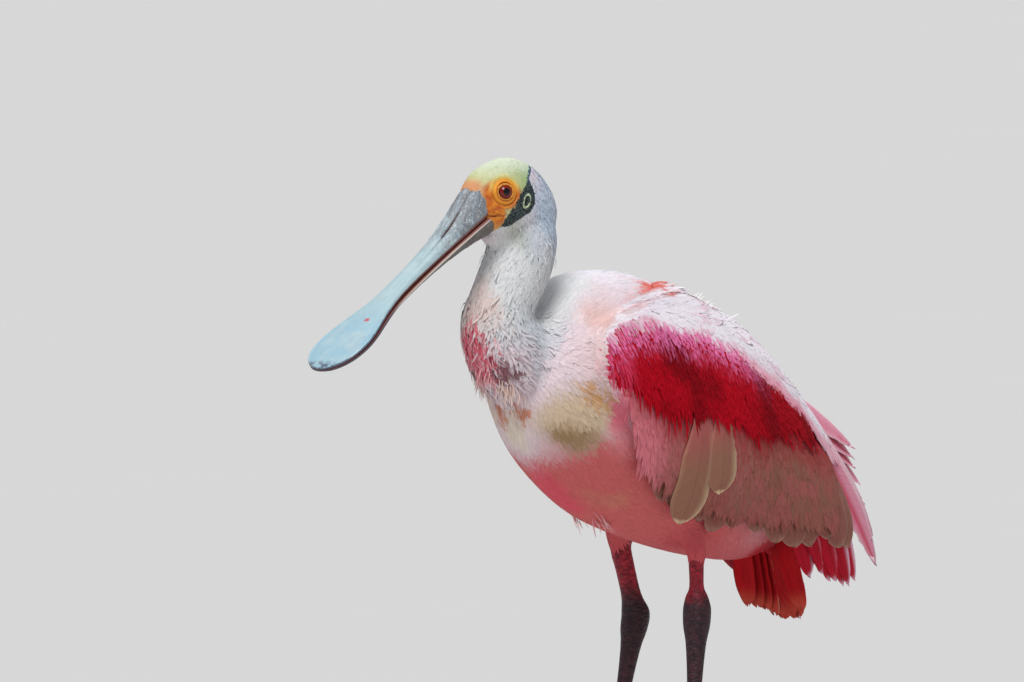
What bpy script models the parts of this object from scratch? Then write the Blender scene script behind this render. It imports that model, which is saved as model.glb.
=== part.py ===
# A roseate spoonbill standing at rest with its neck drawn back and its bill lowered, life size.
# Metres, +Z up. The bird faces -Y, its left side is towards +X, and its toes rest on the floor at z = 0.
# Every sub-part is laid out from a point between the ankles, and one empty carries them all over the origin.

import math
import random

import bmesh
import bpy
from mathutils import Matrix, Vector

# Driving sizes
GAP = 0.0003  # clear space between touching nodes
CENTRE_SHIFT = 0.0625  # carries the middle of the bird's length over the origin
BODY_SIDES = 28
LIMB_SIDES = 12
SEED = 7

# Outlines in the midline plane: (back y, back z, front y, front z, half width), one row for each ring
TORSO = (
    (-0.100, 0.332, -0.133, 0.276, 0.030),
    (-0.080, 0.348, -0.128, 0.254, 0.047),
    (-0.044, 0.353, -0.108, 0.222, 0.058),
    (0.000, 0.344, -0.068, 0.191, 0.063),
    (0.045, 0.318, -0.020, 0.170, 0.062),
    (0.087, 0.279, 0.029, 0.158, 0.052),
    (0.113, 0.238, 0.073, 0.153, 0.036),
    (0.126, 0.203, 0.102, 0.155, 0.020),
)
TORSO_TIPS = ((0.0, -0.124, 0.300), (0.0, 0.118, 0.172))
# The folded wings lie on the torso and carry its outline on to the rear
WING_WRAP = TORSO[:5] + (
    (0.091, 0.280, 0.030, 0.152, 0.055),
    (0.133, 0.239, 0.076, 0.128, 0.046),
    (0.172, 0.195, 0.112, 0.100, 0.034),
    (0.200, 0.160, 0.140, 0.075, 0.024),
)
HEAD = (
    (-0.1690, 0.4125, -0.1500, 0.3770, 0.0120),
    (-0.1610, 0.4225, -0.1440, 0.3720, 0.0150),
    (-0.1480, 0.4300, -0.1350, 0.3690, 0.0180),
    (-0.1330, 0.4330, -0.1230, 0.3665, 0.0205),
    (-0.1170, 0.4300, -0.1110, 0.3665, 0.0215),
    (-0.1030, 0.4200, -0.1020, 0.3720, 0.0190),
    (-0.0945, 0.4060, -0.0970, 0.3820, 0.0120),
)
HEAD_TIPS = ((0.0, -0.1605, 0.3945), (0.0, -0.0925, 0.3935))
HEAD_SIDES = 24
# Neck: (y, z, radius) down its middle, from inside the head to inside the torso
NECK = (
    (-0.117, 0.398, 0.0190),
    (-0.118, 0.380, 0.0230),
    (-0.121, 0.362, 0.0242),
    (-0.128, 0.347, 0.0243),
    (-0.135, 0.334, 0.0243),
    (-0.139, 0.322, 0.0250),
    (-0.133, 0.308, 0.0285),
    (-0.122, 0.295, 0.0310),
    (-0.105, 0.283, 0.0310),
    (-0.086, 0.272, 0.0300),
)
NECK_PARTING = 0.343  # height where the neck is parted in two lengths
NECK_SIDES = 24

# Bill: (share of its length, half width, height above the mouth line, depth below it), one row for each ring
BILL_ROOT = Vector((0.0, -0.157, 0.393))
BILL_LENGTH = 0.1755
BILL_PITCH = math.radians(33.3)
BILL_DROOP = 0.0045  # how far the tip bends below the straight line
BILL = (
    (-0.09, 0.0130, 0.0235, 0.0160),
    (0.00, 0.0130, 0.0225, 0.0155),
    (0.08, 0.0127, 0.0190, 0.0125),
    (0.16, 0.0120, 0.0155, 0.0098),
    (0.26, 0.0110, 0.0120, 0.0075),
    (0.36, 0.0100, 0.0097, 0.0060),
    (0.46, 0.0093, 0.0082, 0.0050),
    (0.56, 0.0093, 0.0070, 0.0043),
    (0.64, 0.0120, 0.0060, 0.0040),
    (0.70, 0.0165, 0.0052, 0.0038),
    (0.76, 0.0220, 0.0046, 0.0036),
    (0.82, 0.0262, 0.0042, 0.0034),
    (0.87, 0.0270, 0.0038, 0.0032),
    (0.92, 0.0240, 0.0035, 0.0030),
    (0.96, 0.0180, 0.0030, 0.0026),
    (0.988, 0.0100, 0.0022, 0.0018),
)
MOUTH_OPENING = 0.0012  # widest gap between the jaws, half way along
NOSTRIL = (0.10, 0.21, 0.0052, 0.0011)  # start and end along the bill, distance from the midline, radius

EYE_CENTRE = Vector((0.0128, -0.1437, 0.4098))
EYE_FACING = Vector((0.93, -0.34, 0.12))
EYE_RADIUS = 0.0063
LID_RADIUS = 0.0056
LID_THICKNESS = 0.0013
EAR_PLACE = (-0.1306, 0.4044)  # y and z
EAR_SIZE = (0.0030, 0.0050)  # half width and half height of the rim
GAPE_END = (-0.1440, 0.3870)  # y and z where the mouth line ends in the cheek

# Legs: where each leg leaves the feathers, its ankle and its foot joint, as (y, z)
LEG_SPREAD = 0.033
LEGS = {
    "left": ((0.012, 0.162), (0.013, 0.120), (0.008, 0.0130)),
    "right": ((0.003, 0.160), (0.017, 0.114), (-0.006, 0.0130)),
}
ANKLE_RISE = 0.011  # from the middle of the ankle up to where the shank begins
FOOT_SPLAY = math.radians(8)
# Toes: heading away from straight ahead, length, and the claw's length
TOES = {
    "middle": (math.radians(0), 0.076, 0.0095),
    "inner": (math.radians(-33), 0.058, 0.0085),
    "outer": (math.radians(34), 0.065, 0.0085),
    "hind": (math.radians(186), 0.030, 0.0075),
}
SOLE_FLAT = 0.0007  # how much of each toe's underside the floor takes off
WEB_REACH = 0.026
WEB_THICKNESS = 0.0022

# Feathers: the thickness of a vane's middle and of its edge, and where its sections lie along it
VANE_MIDDLE = 0.0009
VANE_EDGE = 0.0005
VANE_LONG = (0.0, 0.2, 0.55, 0.85, 1.0)
VANE_SHORT = (0.0, 0.25, 0.75, 1.0)
VANE_SLANT = 0.0018  # how far a vane's lower edge stands over its upper one

# Wing: the arm is a raised pad along this line, (y, z, half width)
ARM = (
    (-0.092, 0.296, 0.010),
    (-0.078, 0.294, 0.026),
    (-0.040, 0.288, 0.046),
    (0.000, 0.281, 0.055),
    (0.040, 0.267, 0.054),
    (0.078, 0.248, 0.040),
    (0.108, 0.228, 0.018),
)
ARM_HEIGHT = 0.0085  # how far the pad stands off the torso
ARM_SINK = 0.0060
# Tiers of the wing, from the innermost out: the line of the roots and the line of the tips as (y, z),
# the count, the half width, how far the roots and the tips lie off the body, the radius that a vane is
# bent to from edge to edge, and its sections
WING_TIERS = {
    "primary": (
        ((0.060, 0.212), (0.080, 0.220), (0.096, 0.232)),
        ((0.130, 0.150), (0.155, 0.137), (0.171, 0.141)),
        4, 0.0085, (0.0016, 0.0016), 0.035, VANE_LONG,
    ),
    "secondary": (
        ((-0.042, 0.262), (0.030, 0.258), (0.098, 0.242)),
        ((-0.033, 0.201), (0.019, 0.181), (0.096, 0.165), (0.156, 0.158)),
        8, 0.0145, (0.0025, 0.0042), 0.055, VANE_LONG,
    ),
    "greater_covert": (
        ((-0.058, 0.276), (0.005, 0.272), (0.055, 0.262)),
        ((-0.052, 0.228), (0.010, 0.208), (0.072, 0.192)),
        7, 0.0130, (0.0040, 0.0070), 0.055, VANE_SHORT,
    ),
    "red_covert": (
        ((-0.083, 0.302), (-0.015, 0.306), (0.066, 0.276)),
        ((-0.070, 0.254), (0.000, 0.255), (0.090, 0.226)),
        8, 0.0135, (0.0040, 0.0098), 0.060, VANE_SHORT,
    ),
    "tertial": (
        ((0.052, 0.286), (0.074, 0.274), (0.092, 0.258)),
        ((0.163, 0.218), (0.178, 0.188), (0.173, 0.154)),
        5, 0.0110, (0.0030, 0.0070), 0.035, VANE_LONG,
    ),
    "scapular": (
        ((-0.056, 0.326), (-0.006, 0.336), (0.042, 0.318)),
        ((0.004, 0.326), (0.068, 0.296), (0.130, 0.242)),
        5, 0.0140, (0.0040, 0.0120), 0.050, VANE_LONG,
    ),
}
LOOSE_FEATHER = ((0.078, 0.266), (0.163, 0.231), 0.0080, (0.0040, 0.0100), 0.035, VANE_LONG)

# Tail: half width of the fan, y and z at its roots and at its tips
TAIL_COUNT = 9
TAIL_ROOT = (0.020, 0.104, 0.186)
TAIL_TIP = (0.025, 0.130, 0.108)
TAIL_STUMP = ((0.0, 0.108, 0.180), (0.024, 0.020, 0.022))  # centre and half sizes
TAIL_VANE_HALF_WIDTH = 0.0080
TAIL_BOW = 0.010  # how far the outer feathers stand forward of the middle ones

# Shaggy locks that hang at the foot of the neck: rows of (height of the roots, count, half angle of the row)
LOCK_ROWS = (
    (0.318, 7, math.radians(60)),
    (0.297, 8, math.radians(64)),
)
LOCK_LENGTH = 0.024
LOCK_HALF_WIDTH = 0.0042
LOCK_THICKNESS = 0.0018

# Colours
SHELL_WHITE = (0.86, 0.82, 0.80)
PALE_PINK = (0.88, 0.58, 0.58)
ROSE = (0.80, 0.27, 0.33)
CROWN_GREEN = (0.62, 0.66, 0.40)
BILL_BLUE = (0.52, 0.64, 0.68)
EYE_RED = (0.30, 0.02, 0.02)
LEG_RED = (0.45, 0.07, 0.10)
ANKLE_PURPLE = (0.16, 0.06, 0.08)
CLAW_BLACK = (0.05, 0.04, 0.04)
TAIL_ORANGE = (0.78, 0.20, 0.12)


def clear_scene():
    for old in list(bpy.data.objects):
        bpy.data.objects.remove(old, do_unlink=True)


def smooth_rows(rows, per_span):
    """The rows with per_span - 1 more between each two, on a smooth curve through them all."""
    made = []
    for i in range(len(rows) - 1):
        made += [row_at(rows, i + k / per_span) for k in range(per_span)]
    return made + [list(rows[-1])]


def row_at(rows, place):
    """The row at a place along the smooth curve, where whole numbers are the rows themselves."""
    i = min(max(int(math.floor(place)), 0), len(rows) - 2)
    b, c = rows[i], rows[i + 1]
    a = rows[i - 1] if i > 0 else [2 * p - q for p, q in zip(b, c)]
    d = rows[i + 2] if i + 2 < len(rows) else [2 * q - p for p, q in zip(b, c)]
    return [catmull_rom(values, place - i) for values in zip(a, b, c, d)]


def catmull_rom(values, t):
    a, b, c, d = values
    return 0.5 * (2 * b + (c - a) * t + (2 * a - 5 * b + 4 * c - d) * t * t + (3 * b - a - 3 * c + d) * t**3)


def mix(a, b, t):
    return a + (b - a) * t


def link(name, mesh):
    made = bpy.data.objects.new(name, mesh)
    bpy.context.scene.collection.objects.link(made)
    return made


def closed_mesh(name, points, faces):
    """A named object of these points and faces, its faces turned outwards."""
    mesh = bpy.data.meshes.new(name)
    mesh.from_pydata([tuple(p) for p in points], [], faces)
    work = bmesh.new()
    work.from_mesh(mesh)
    bmesh.ops.recalc_face_normals(work, faces=work.faces)
    if work.calc_volume(signed=True) < 0:
        bmesh.ops.reverse_faces(work, faces=work.faces)
    work.to_mesh(mesh)
    work.free()
    return link(name, mesh)


def skin_rings(name, rings, tips=(None, None)):
    """A closed skin over rings of equal count. An end with a tip closes to that point, one without is flat."""
    sides = len(rings[0])
    points = [p for ring in rings for p in ring]
    faces = []
    for first in range(0, sides * (len(rings) - 1), sides):
        for i in range(sides):
            a, b = first + i, first + (i + 1) % sides
            faces.append((a, b, b + sides, a + sides))
    for first, tip in ((0, tips[0]), (sides * (len(rings) - 1), tips[1])):
        if tip is None:
            faces.append([first + i for i in range(sides)])
        else:
            faces += [(first + i, first + (i + 1) % sides, len(points)) for i in range(sides)]
            points.append(Vector(tip))
    return closed_mesh(name, points, faces)


def oval(centre, up, across, sides):
    angles = [2 * math.pi * i / sides for i in range(sides)]
    return [centre + up * math.cos(a) + across * math.sin(a) for a in angles]


def outline_ring(row, sides, grow=0.0):
    """The ring of one outline row, grown outwards all round."""
    back, front = Vector((0, row[0], row[1])), Vector((0, row[2], row[3]))
    up = (back - front) / 2
    return oval((back + front) / 2, up * (1 + grow / up.length), Vector((row[4] + grow, 0, 0)), sides)


def outline_body(name, rows, tips, sides, grow=0.0):
    rings = [outline_ring(row, sides, grow) for row in smooth_rows(rows, 2)]
    middles = [sum(rings[i], Vector()) / sides for i in (0, -1)]
    grown_tips = [Vector(t) + (Vector(t) - m).normalized() * grow for t, m in zip(tips, middles)]
    return skin_rings(name, rings, grown_tips)


def torso_body(name, grow=0.0):
    return outline_body(name, TORSO, TORSO_TIPS, BODY_SIDES, grow)


def head_body(name, grow=0.0):
    return outline_body(name, HEAD, HEAD_TIPS, HEAD_SIDES, grow)


def tube(name, rows, per_span=1, sides=LIMB_SIDES, tips=(None, None)):
    """A tube through (x, y, z, radius) rows."""
    run = smooth_rows(rows, per_span)
    rings = []
    for i, (x, y, z, radius) in enumerate(run):
        ahead, behind = Vector(run[min(i + 1, len(run) - 1)][:3]), Vector(run[max(i - 1, 0)][:3])
        along = (ahead - behind).normalized()
        aside = Vector((0, 0, 1)) if abs(along.z) < 0.7 else Vector((1, 0, 0))
        across = (aside - along * aside.dot(along)).normalized()
        rings.append(oval(Vector((x, y, z)), across.cross(along) * radius, across * radius, sides))
    return skin_rings(name, rings, tips)


def ball(name, centre, radius, across=14, rings=8):
    """A sphere with its poles to the left and right."""
    mesh = bpy.data.meshes.new(name)
    work = bmesh.new()
    bmesh.ops.create_uvsphere(work, u_segments=across, v_segments=rings, radius=radius)
    bmesh.ops.rotate(work, verts=work.verts, cent=(0, 0, 0), matrix=Matrix.Rotation(math.pi / 2, 3, "Y"))
    bmesh.ops.translate(work, verts=work.verts, vec=centre)
    work.to_mesh(mesh)
    work.free()
    return link(name, mesh)


def hoop(name, centre, facing, half_width, half_height, thickness, sides=14, section=5):
    """A closed oval ring whose opening faces the given way, and whose height runs up."""
    outward = Vector(facing).normalized()
    across = Vector((0, 0, 1)).cross(outward).normalized()
    up = outward.cross(across)
    turns = [2 * math.pi * k / section for k in range(section)]
    points, faces = [], []
    for i in range(sides):
        angle = 2 * math.pi * i / sides
        spoke = across * math.cos(angle) * half_width + up * math.sin(angle) * half_height
        out = spoke.normalized() * thickness
        points += [centre + spoke + out * math.cos(a) + outward * math.sin(a) * thickness for a in turns]
        for k in range(section):
            a, b = i * section + k, i * section + (k + 1) % section
            next_ring = (i + 1) % sides * section
            faces.append((a, b, next_ring + (k + 1) % section, next_ring + k))
    return closed_mesh(name, points, faces)


def apply_modifiers(thing):
    bpy.context.view_layer.update()
    graph = bpy.context.evaluated_depsgraph_get()
    made = bpy.data.meshes.new_from_object(thing.evaluated_get(graph))
    thing.modifiers.clear()
    thing.data = made


def combine(thing, pieces, operation, solver):
    """One Boolean of a thing with a collection of closed pieces, which are then removed."""
    group = bpy.data.collections.new(thing.name + "_pieces")
    for piece in pieces:
        group.objects.link(piece)
    boolean = thing.modifiers.new("Boolean", "BOOLEAN")
    boolean.operation = operation
    boolean.operand_type = "COLLECTION"
    boolean.collection = group
    boolean.solver = solver
    apply_modifiers(thing)
    for piece in pieces:
        bpy.data.objects.remove(piece, do_unlink=True)
    bpy.data.collections.remove(group)
    keep_largest(thing)


def unite(thing, pieces, solver="EXACT"):
    combine(thing, pieces, "UNION", solver)


def cut(thing, cutters, solver="EXACT"):
    combine(thing, cutters, "DIFFERENCE", solver)


def keep_largest(thing):
    """Drops all but the largest closed surface."""
    work = bmesh.new()
    work.from_mesh(thing.data)
    shells = sorted(separate_shells(work), key=shell_volume)
    dropped = [face for shell in shells[:-1] for face in shell]
    bmesh.ops.delete(work, geom=dropped, context="FACES")
    work.to_mesh(thing.data)
    work.free()


def separate_shells(work):
    waiting, shells = set(work.faces), []
    while waiting:
        border = [waiting.pop()]
        shell = set(border)
        while border:
            face = border.pop()
            near = {other for edge in face.edges for other in edge.link_faces} & waiting
            waiting -= near
            shell |= near
            border += near
        shells.append(shell)
    return shells


def shell_volume(shell):
    total = 0.0
    for face in shell:
        first = face.verts[0].co
        for a, b in zip(face.verts[1:], face.verts[2:]):
            total += first.dot(a.co.cross(b.co)) / 6
    return total


def trim(thing, point, normal):
    """Takes off all that lies beyond a plane, and closes the cut with a flat face."""
    work = bmesh.new()
    work.from_mesh(thing.data)
    every = work.verts[:] + work.edges[:] + work.faces[:]
    made = bmesh.ops.bisect_plane(work, geom=every, plane_co=point, plane_no=normal, clear_outer=True)
    rim = [e for e in made["geom_cut"] if isinstance(e, bmesh.types.BMEdge)]
    bmesh.ops.holes_fill(work, edges=rim)
    bmesh.ops.recalc_face_normals(work, faces=work.faces)
    work.to_mesh(thing.data)
    work.free()


def finish(thing, colour, roughness, carrier):
    """Gives a node its material and smooth shading, and hangs it on the empty that carries the bird."""
    material = bpy.data.materials.new(thing.name + "_finish")
    material.use_nodes = True
    shader = material.node_tree.nodes["Principled BSDF"]
    shader.inputs["Base Color"].default_value = (*colour, 1)
    shader.inputs["Roughness"].default_value = roughness
    shader.inputs["Metallic"].default_value = 0
    thing.data.materials.clear()
    thing.data.materials.append(material)
    thing.data.shade_smooth()
    thing.data.set_sharp_from_angle(angle=math.radians(40))
    thing.parent = carrier


def side_name(part, side):
    return f"{part}_{'left' if side > 0 else 'right'}"


def mirrored(point, side):
    return Vector((point[0] * side, point[1], point[2]))


# Head, eyes and bill


def make_head():
    head = head_body("head")
    rims, hollows = [], []
    for side in (1, -1):
        eye, facing = mirrored(EYE_CENTRE, side), mirrored(EYE_FACING, side).normalized()
        lid = eye + facing * math.sqrt(EYE_RADIUS**2 - (LID_RADIUS - LID_THICKNESS / 2) ** 2)
        rims.append(hoop("lid", lid, facing, LID_RADIUS, LID_RADIUS * 0.94, LID_THICKNESS))
        hollows.append(ball("socket", eye, EYE_RADIUS + GAP))
        ear, outward = head_surface(head, *EAR_PLACE, side)
        rims.append(hoop("ear_rim", ear, outward, *EAR_SIZE, 0.0009))
        hollows.append(ear_hollow(ear - outward * 0.0002))
        hollows.append(gape_groove(head, side))
    unite(head, rims)
    cut(head, hollows)
    return head


def head_surface(head, y, z, side):
    """The point on the side of the head at this y and z, and the way it faces."""
    bpy.context.view_layer.update()
    _, place, normal, _ = head.ray_cast(Vector((side * 0.1, y, z)), Vector((-side, 0, 0)))
    return place, normal


def ear_hollow(centre):
    hollow = ball("ear_hollow", (0, 0, 0), 0.0022, 10, 6)
    hollow.data.transform(Matrix.Translation(centre) @ Matrix.Diagonal((1.0, 0.95, 1.8, 1.0)))
    return hollow


def gape_groove(head, side):
    """A fine tapering furrow that carries the mouth line on into the cheek."""
    start, end = Vector((0, BILL_ROOT.y, BILL_ROOT.z)), Vector((0, *GAPE_END))
    rows = []
    for t, radius in ((-0.2, 0.0009), (0.1, 0.0009), (0.4, 0.0008), (0.7, 0.0006), (1.0, 0.0003)):
        place, _ = head_surface(head, *start.lerp(end, t).yz, side)
        rows.append((*place, radius))
    return tube("gape", rows, sides=6)


def bill_frame():
    """The bill's own axes: along it, across and up."""
    along = Vector((0, -math.cos(BILL_PITCH), -math.sin(BILL_PITCH)))
    up = Vector((0, -math.sin(BILL_PITCH), math.cos(BILL_PITCH)))
    return along, Vector((1, 0, 0)), up


def bill_middle(share):
    """The point on the mouth line at a share of the bill's length."""
    along, _, up = bill_frame()
    return BILL_ROOT + along * share * BILL_LENGTH - up * BILL_DROOP * max(share, 0) ** 2


def jaw(name, direction):
    """One jaw, domed away from the mouth and flat towards it. The direction is 1 for the upper one."""
    _, across, up = bill_frame()
    rings = []
    for share, half_width, height, depth in BILL:
        rise = height if direction > 0 else depth
        opening = MOUTH_OPENING * math.sin(math.pi * min(max(share, 0), 1)) ** 2
        lift = GAP / 2 + (opening if direction < 0 else 0)
        middle = bill_middle(share) + up * direction * lift
        rings.append(jaw_ring(middle, across * half_width, up * direction * rise))
    tip = bill_middle(1) + up * direction * 0.0008
    return skin_rings(name, rings, (None, tip))


def dome(share):
    """How high the jaw's outside stands at a share of its half width, as a share of its full height."""
    return 0.25 + 0.75 * (1 - share * share) ** 0.4


def jaw_ring(middle, across, rise, arch=9, floor=3):
    """A dome of arch points over a flat floor."""
    turns = [math.pi * i / (arch - 1) for i in range(arch)]
    roof = [middle + across * math.cos(a) + rise * dome(min(abs(math.cos(a)), 1.0)) for a in turns]
    return roof + [middle - across * 0.96 * (1 - 2 * (i + 1) / (floor + 1)) for i in range(floor)]


def bill_row(share):
    """The bill's row at a share of its length."""
    i = max(k for k in range(len(BILL) - 1) if BILL[k][0] <= share)
    return row_at(BILL, i + (share - BILL[i][0]) / (BILL[i + 1][0] - BILL[i][0]))


def nostril(side):
    """A slit beside the ridge of the bill, laid half in the surface of the upper jaw."""
    _, across, up = bill_frame()
    start, end, aside, radius = NOSTRIL
    rows = []
    for t, swell in ((0, 0.3), (0.25, 0.9), (0.5, 1.0), (0.75, 0.9), (1, 0.3)):
        share = mix(start, end, t)
        _, half_width, height, _ = bill_row(share)
        middle = bill_middle(share) + across * side * aside + up * height * dome(aside / half_width)
        rows.append((*middle, radius * swell))
    return tube("nostril", rows, sides=8)


def make_bill():
    upper, lower = jaw("bill_upper", 1), jaw("bill_lower", -1)
    cut(upper, [head_body("head_clear", GAP), nostril(1), nostril(-1)])
    cut(lower, [head_body("head_clear", GAP)])
    return upper, lower


def make_eye(side):
    return ball(side_name("eye", side), mirrored(EYE_CENTRE, side), EYE_RADIUS)


# Neck


def neck_tube(name):
    return tube(name, [(0, *row) for row in NECK], 2, NECK_SIDES)


def make_neck():
    """The neck in two lengths. The lower one carries the shaggy locks."""
    parting = Vector((0, 0, NECK_PARTING))
    upper, lower = neck_tube("neck_upper"), neck_tube("neck_lower")
    trim(upper, parting + Vector((0, 0, GAP / 2)), (0, 0, -1))
    cut(upper, [head_body("head_clear", GAP)])
    trim(lower, parting - Vector((0, 0, GAP / 2)), (0, 0, 1))
    unite(lower, neck_locks())
    cut(lower, [torso_body("torso_clear", GAP)])
    return upper, lower


def neck_at(height):
    """The neck's middle and radius at a height."""
    i = next(k for k in range(len(NECK) - 1) if NECK[k + 1][1] <= height)
    y, z, radius = row_at(NECK, i + (NECK[i][1] - height) / (NECK[i][1] - NECK[i + 1][1]))
    return Vector((0, y, z)), radius


def neck_locks():
    draw = random.Random(SEED)
    locks = []
    for height, count, half_angle in LOCK_ROWS:
        for i in range(count):
            turn = mix(-half_angle, half_angle, i / (count - 1)) + draw.uniform(-0.05, 0.05)
            root = height + draw.uniform(-0.003, 0.003)
            length = LOCK_LENGTH * draw.uniform(0.8, 1.15) * (0.7 + 0.3 * math.cos(turn))
            locks.append(lock(f"lock_{len(locks)}", turn, root, length, draw.uniform(0.0015, 0.0045)))
    return locks


def lock(name, turn, root, length, lift):
    """A flat tapered lock that hangs down the neck, its tip lifted a little."""
    outward = Vector((math.sin(turn), -math.cos(turn), 0))
    across = Vector((math.cos(turn), math.sin(turn), 0))
    rings = []
    for t, share in ((0.0, 0.55), (0.35, 1.0), (0.7, 0.75), (0.92, 0.3)):
        height = root - length * t
        middle, radius = neck_at(max(height, NECK[-1][1]))
        place = Vector((0, middle.y, height)) + outward * (radius + mix(-0.0022, lift, t**0.8))
        thick = outward * mix(LOCK_THICKNESS, 0.0005, t)
        wide = across * LOCK_HALF_WIDTH * share
        rings.append([place - wide, place + thick, place + wide, place - thick])
    tip = place - Vector((0, 0, length * 0.1)) + outward * 0.0005
    return skin_rings(name, rings, (None, tip))


# Feathers


def wing_surface(y, z):
    """The point of the wings' envelope at this y and z in the side view, and the way it faces."""
    low, high = -0.5, len(WING_WRAP) - 0.5
    for _ in range(30):
        place = (low + high) / 2
        back_y, back_z, front_y, front_z, half_width = row_at(WING_WRAP, place)
        if (front_y - back_y) * (z - back_z) - (front_z - back_z) * (y - back_y) > 0:
            low = place
        else:
            high = place
    back, front = Vector((0, back_y, back_z)), Vector((0, front_y, front_z))
    up = (back - front) / 2
    level = (Vector((0, y, z)) - (back + front) / 2).dot(up) / up.length_squared
    level = min(max(level, -0.97), 0.97)
    round_off = math.sqrt(1 - level**2)
    facing = Vector((round_off / half_width, 0, 0)) + up.normalized() * (level / up.length)
    return Vector((half_width * round_off, y, z)), facing.normalized()


def to_side(place, side):
    """A point of the left wing, kept clear of the midline and carried over to its own side."""
    return Vector((side * max(place.x, 2 * GAP), place.y, place.z))


def on_wing(y, z, off, side):
    """A point at a distance off the envelope."""
    place, facing = wing_surface(y, z)
    return to_side(place + facing * off, side)


def vane(name, sections):
    """A feather's vane. Each section holds three (outer, inner) pairs, split alike on both faces."""
    points, faces = [], []
    for section in sections:
        points += [outer for outer, _ in section]
        points += [inner for _, inner in reversed(section)]
    last = 6 * (len(sections) - 1)
    for first in range(0, last, 6):
        for k in range(6):
            a, b = first + k, first + (k + 1) % 6
            if k in (3, 4):
                faces += [(a, b, a + 6), (b, b + 6, a + 6)]
            else:
                faces += [(a, b, b + 6), (a, b + 6, a + 6)]
    ends = ((0, 1, 4), (0, 4, 5), (1, 2, 3), (1, 3, 4))
    faces += [[first + i for i in corners] for first in (0, last) for corners in ends]
    return closed_mesh(name, points, faces)


def vane_width(t):
    """Half width along a vane, as a share of the widest: narrow at the root, round at the tip."""
    rounding = max((t - 0.72) / 0.30, 0)
    return min(0.45 + 1.3 * t, 1.0) * math.sqrt(max(1 - rounding**2, 0.02))


def wing_vane(name, side, root, tip, half_width, offs, bow, stations):
    """One feather of the wing: its middle follows the envelope, and its edges bend down to it."""
    root, tip = Vector(root), Vector(tip)
    spine = []
    for t in stations:
        place, facing = wing_surface(*root.lerp(tip, t))
        spine.append((place + facing * mix(*offs, t), facing))
    sections = []
    for i, (middle, facing) in enumerate(spine):
        along = spine[min(i + 1, len(spine) - 1)][0] - spine[max(i - 1, 0)][0]
        across = facing.cross(along).normalized()
        section = []
        for edge in (-1, 0, 1):
            wide = edge * half_width * vane_width(stations[i])
            place = middle + across * wide - facing * (wide**2 / (2 * bow) + edge * VANE_SLANT)
            thick = facing * (VANE_EDGE if edge else VANE_MIDDLE) / 2
            section.append((to_side(place + thick, side), to_side(place - thick, side)))
        sections.append(section)
    return vane(name, sections)


def wing_tier(name, side, draw):
    """The feathers of one tier, spaced evenly along its lines of roots and tips."""
    roots, tips, count, half_width, offs, bow, stations = WING_TIERS[name]
    made = []
    for i in range(count):
        share = i / (count - 1)
        stray = Vector((draw.uniform(-0.0012, 0.0012), draw.uniform(-0.0020, 0.0020)))
        root = row_at(roots, share * (len(roots) - 1))
        tip = Vector(row_at(tips, share * (len(tips) - 1))) + stray
        wide = half_width * draw.uniform(0.94, 1.06)
        made.append(wing_vane(f"{name}_{i}", side, root, tip, wide, offs, bow, stations))
    return made


def wing_arm(name, side):
    """The raised pad of the arm, which every feather grows from."""
    rings = []
    for y, z, half_width in smooth_rows(ARM, 2):
        outside = [mix(-1, 1, k / 6) for k in range(7)]
        inside = [mix(0.92, -0.92, k / 4) for k in range(5)]
        ring = [on_wing(y, z + v * half_width, ARM_HEIGHT * math.sqrt(1 - 0.8 * v * v), side) for v in outside]
        ring += [on_wing(y, z + v * half_width, -ARM_SINK, side) for v in inside]
        rings.append(ring)
    return skin_rings(name, rings)


def make_wing(side):
    draw = random.Random(SEED + side)
    wing = wing_arm(side_name("wing", side), side)
    feathers = [feather for tier in WING_TIERS for feather in wing_tier(tier, side, draw)]
    feathers.append(wing_vane("loose", side, *LOOSE_FEATHER))
    unite(wing, feathers)
    cut(wing, [torso_body("torso_clear", GAP)])
    return wing


def make_tail():
    """A half-closed fan of tail feathers on a short stump."""
    tail = ball("tail", (0, 0, 0), 1.0)
    centre, half_sizes = TAIL_STUMP
    tail.data.transform(Matrix.Translation(centre) @ Matrix.Diagonal((*half_sizes, 1.0)))
    shares = [2 * i / (TAIL_COUNT - 1) - 1 for i in range(TAIL_COUNT)]
    unite(tail, [tail_vane(f"tail_feather_{i}", share) for i, share in enumerate(shares)])
    cut(tail, [torso_body("torso_clear", GAP)])
    return tail


def tail_vane(name, share):
    """One tail feather, from -1 at the right of the fan to 1 at the left."""
    root_x, root_y, root_z = TAIL_ROOT
    tip_x, tip_y, tip_z = TAIL_TIP
    layer = abs(share) * 0.004
    root = Vector((root_x * share, root_y - layer, root_z))
    tip = Vector((tip_x * share, tip_y - layer - TAIL_BOW * share**2, tip_z + 0.008 * share**2))
    facing = (tip - root).cross(Vector((1, 0, 0))).normalized()
    sections = []
    for t in VANE_SHORT:
        middle = root.lerp(tip, t)
        section = []
        for edge in (-1, 0, 1):
            across = Vector((edge * TAIL_VANE_HALF_WIDTH * vane_width(t), 0, 0))
            thick = facing * (VANE_EDGE if edge else VANE_MIDDLE) / 2
            place = middle + across + facing * edge * math.copysign(0.0008, share)
            section.append((place + thick, place - thick))
        sections.append(section)
    return vane(name, sections)


# Legs and feet


def leg_points(side):
    """The places of a leg in space: where it leaves the feathers, its ankle and its foot joint."""
    return [Vector((side * LEG_SPREAD, y, z)) for y, z in LEGS["left" if side > 0 else "right"]]


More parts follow.
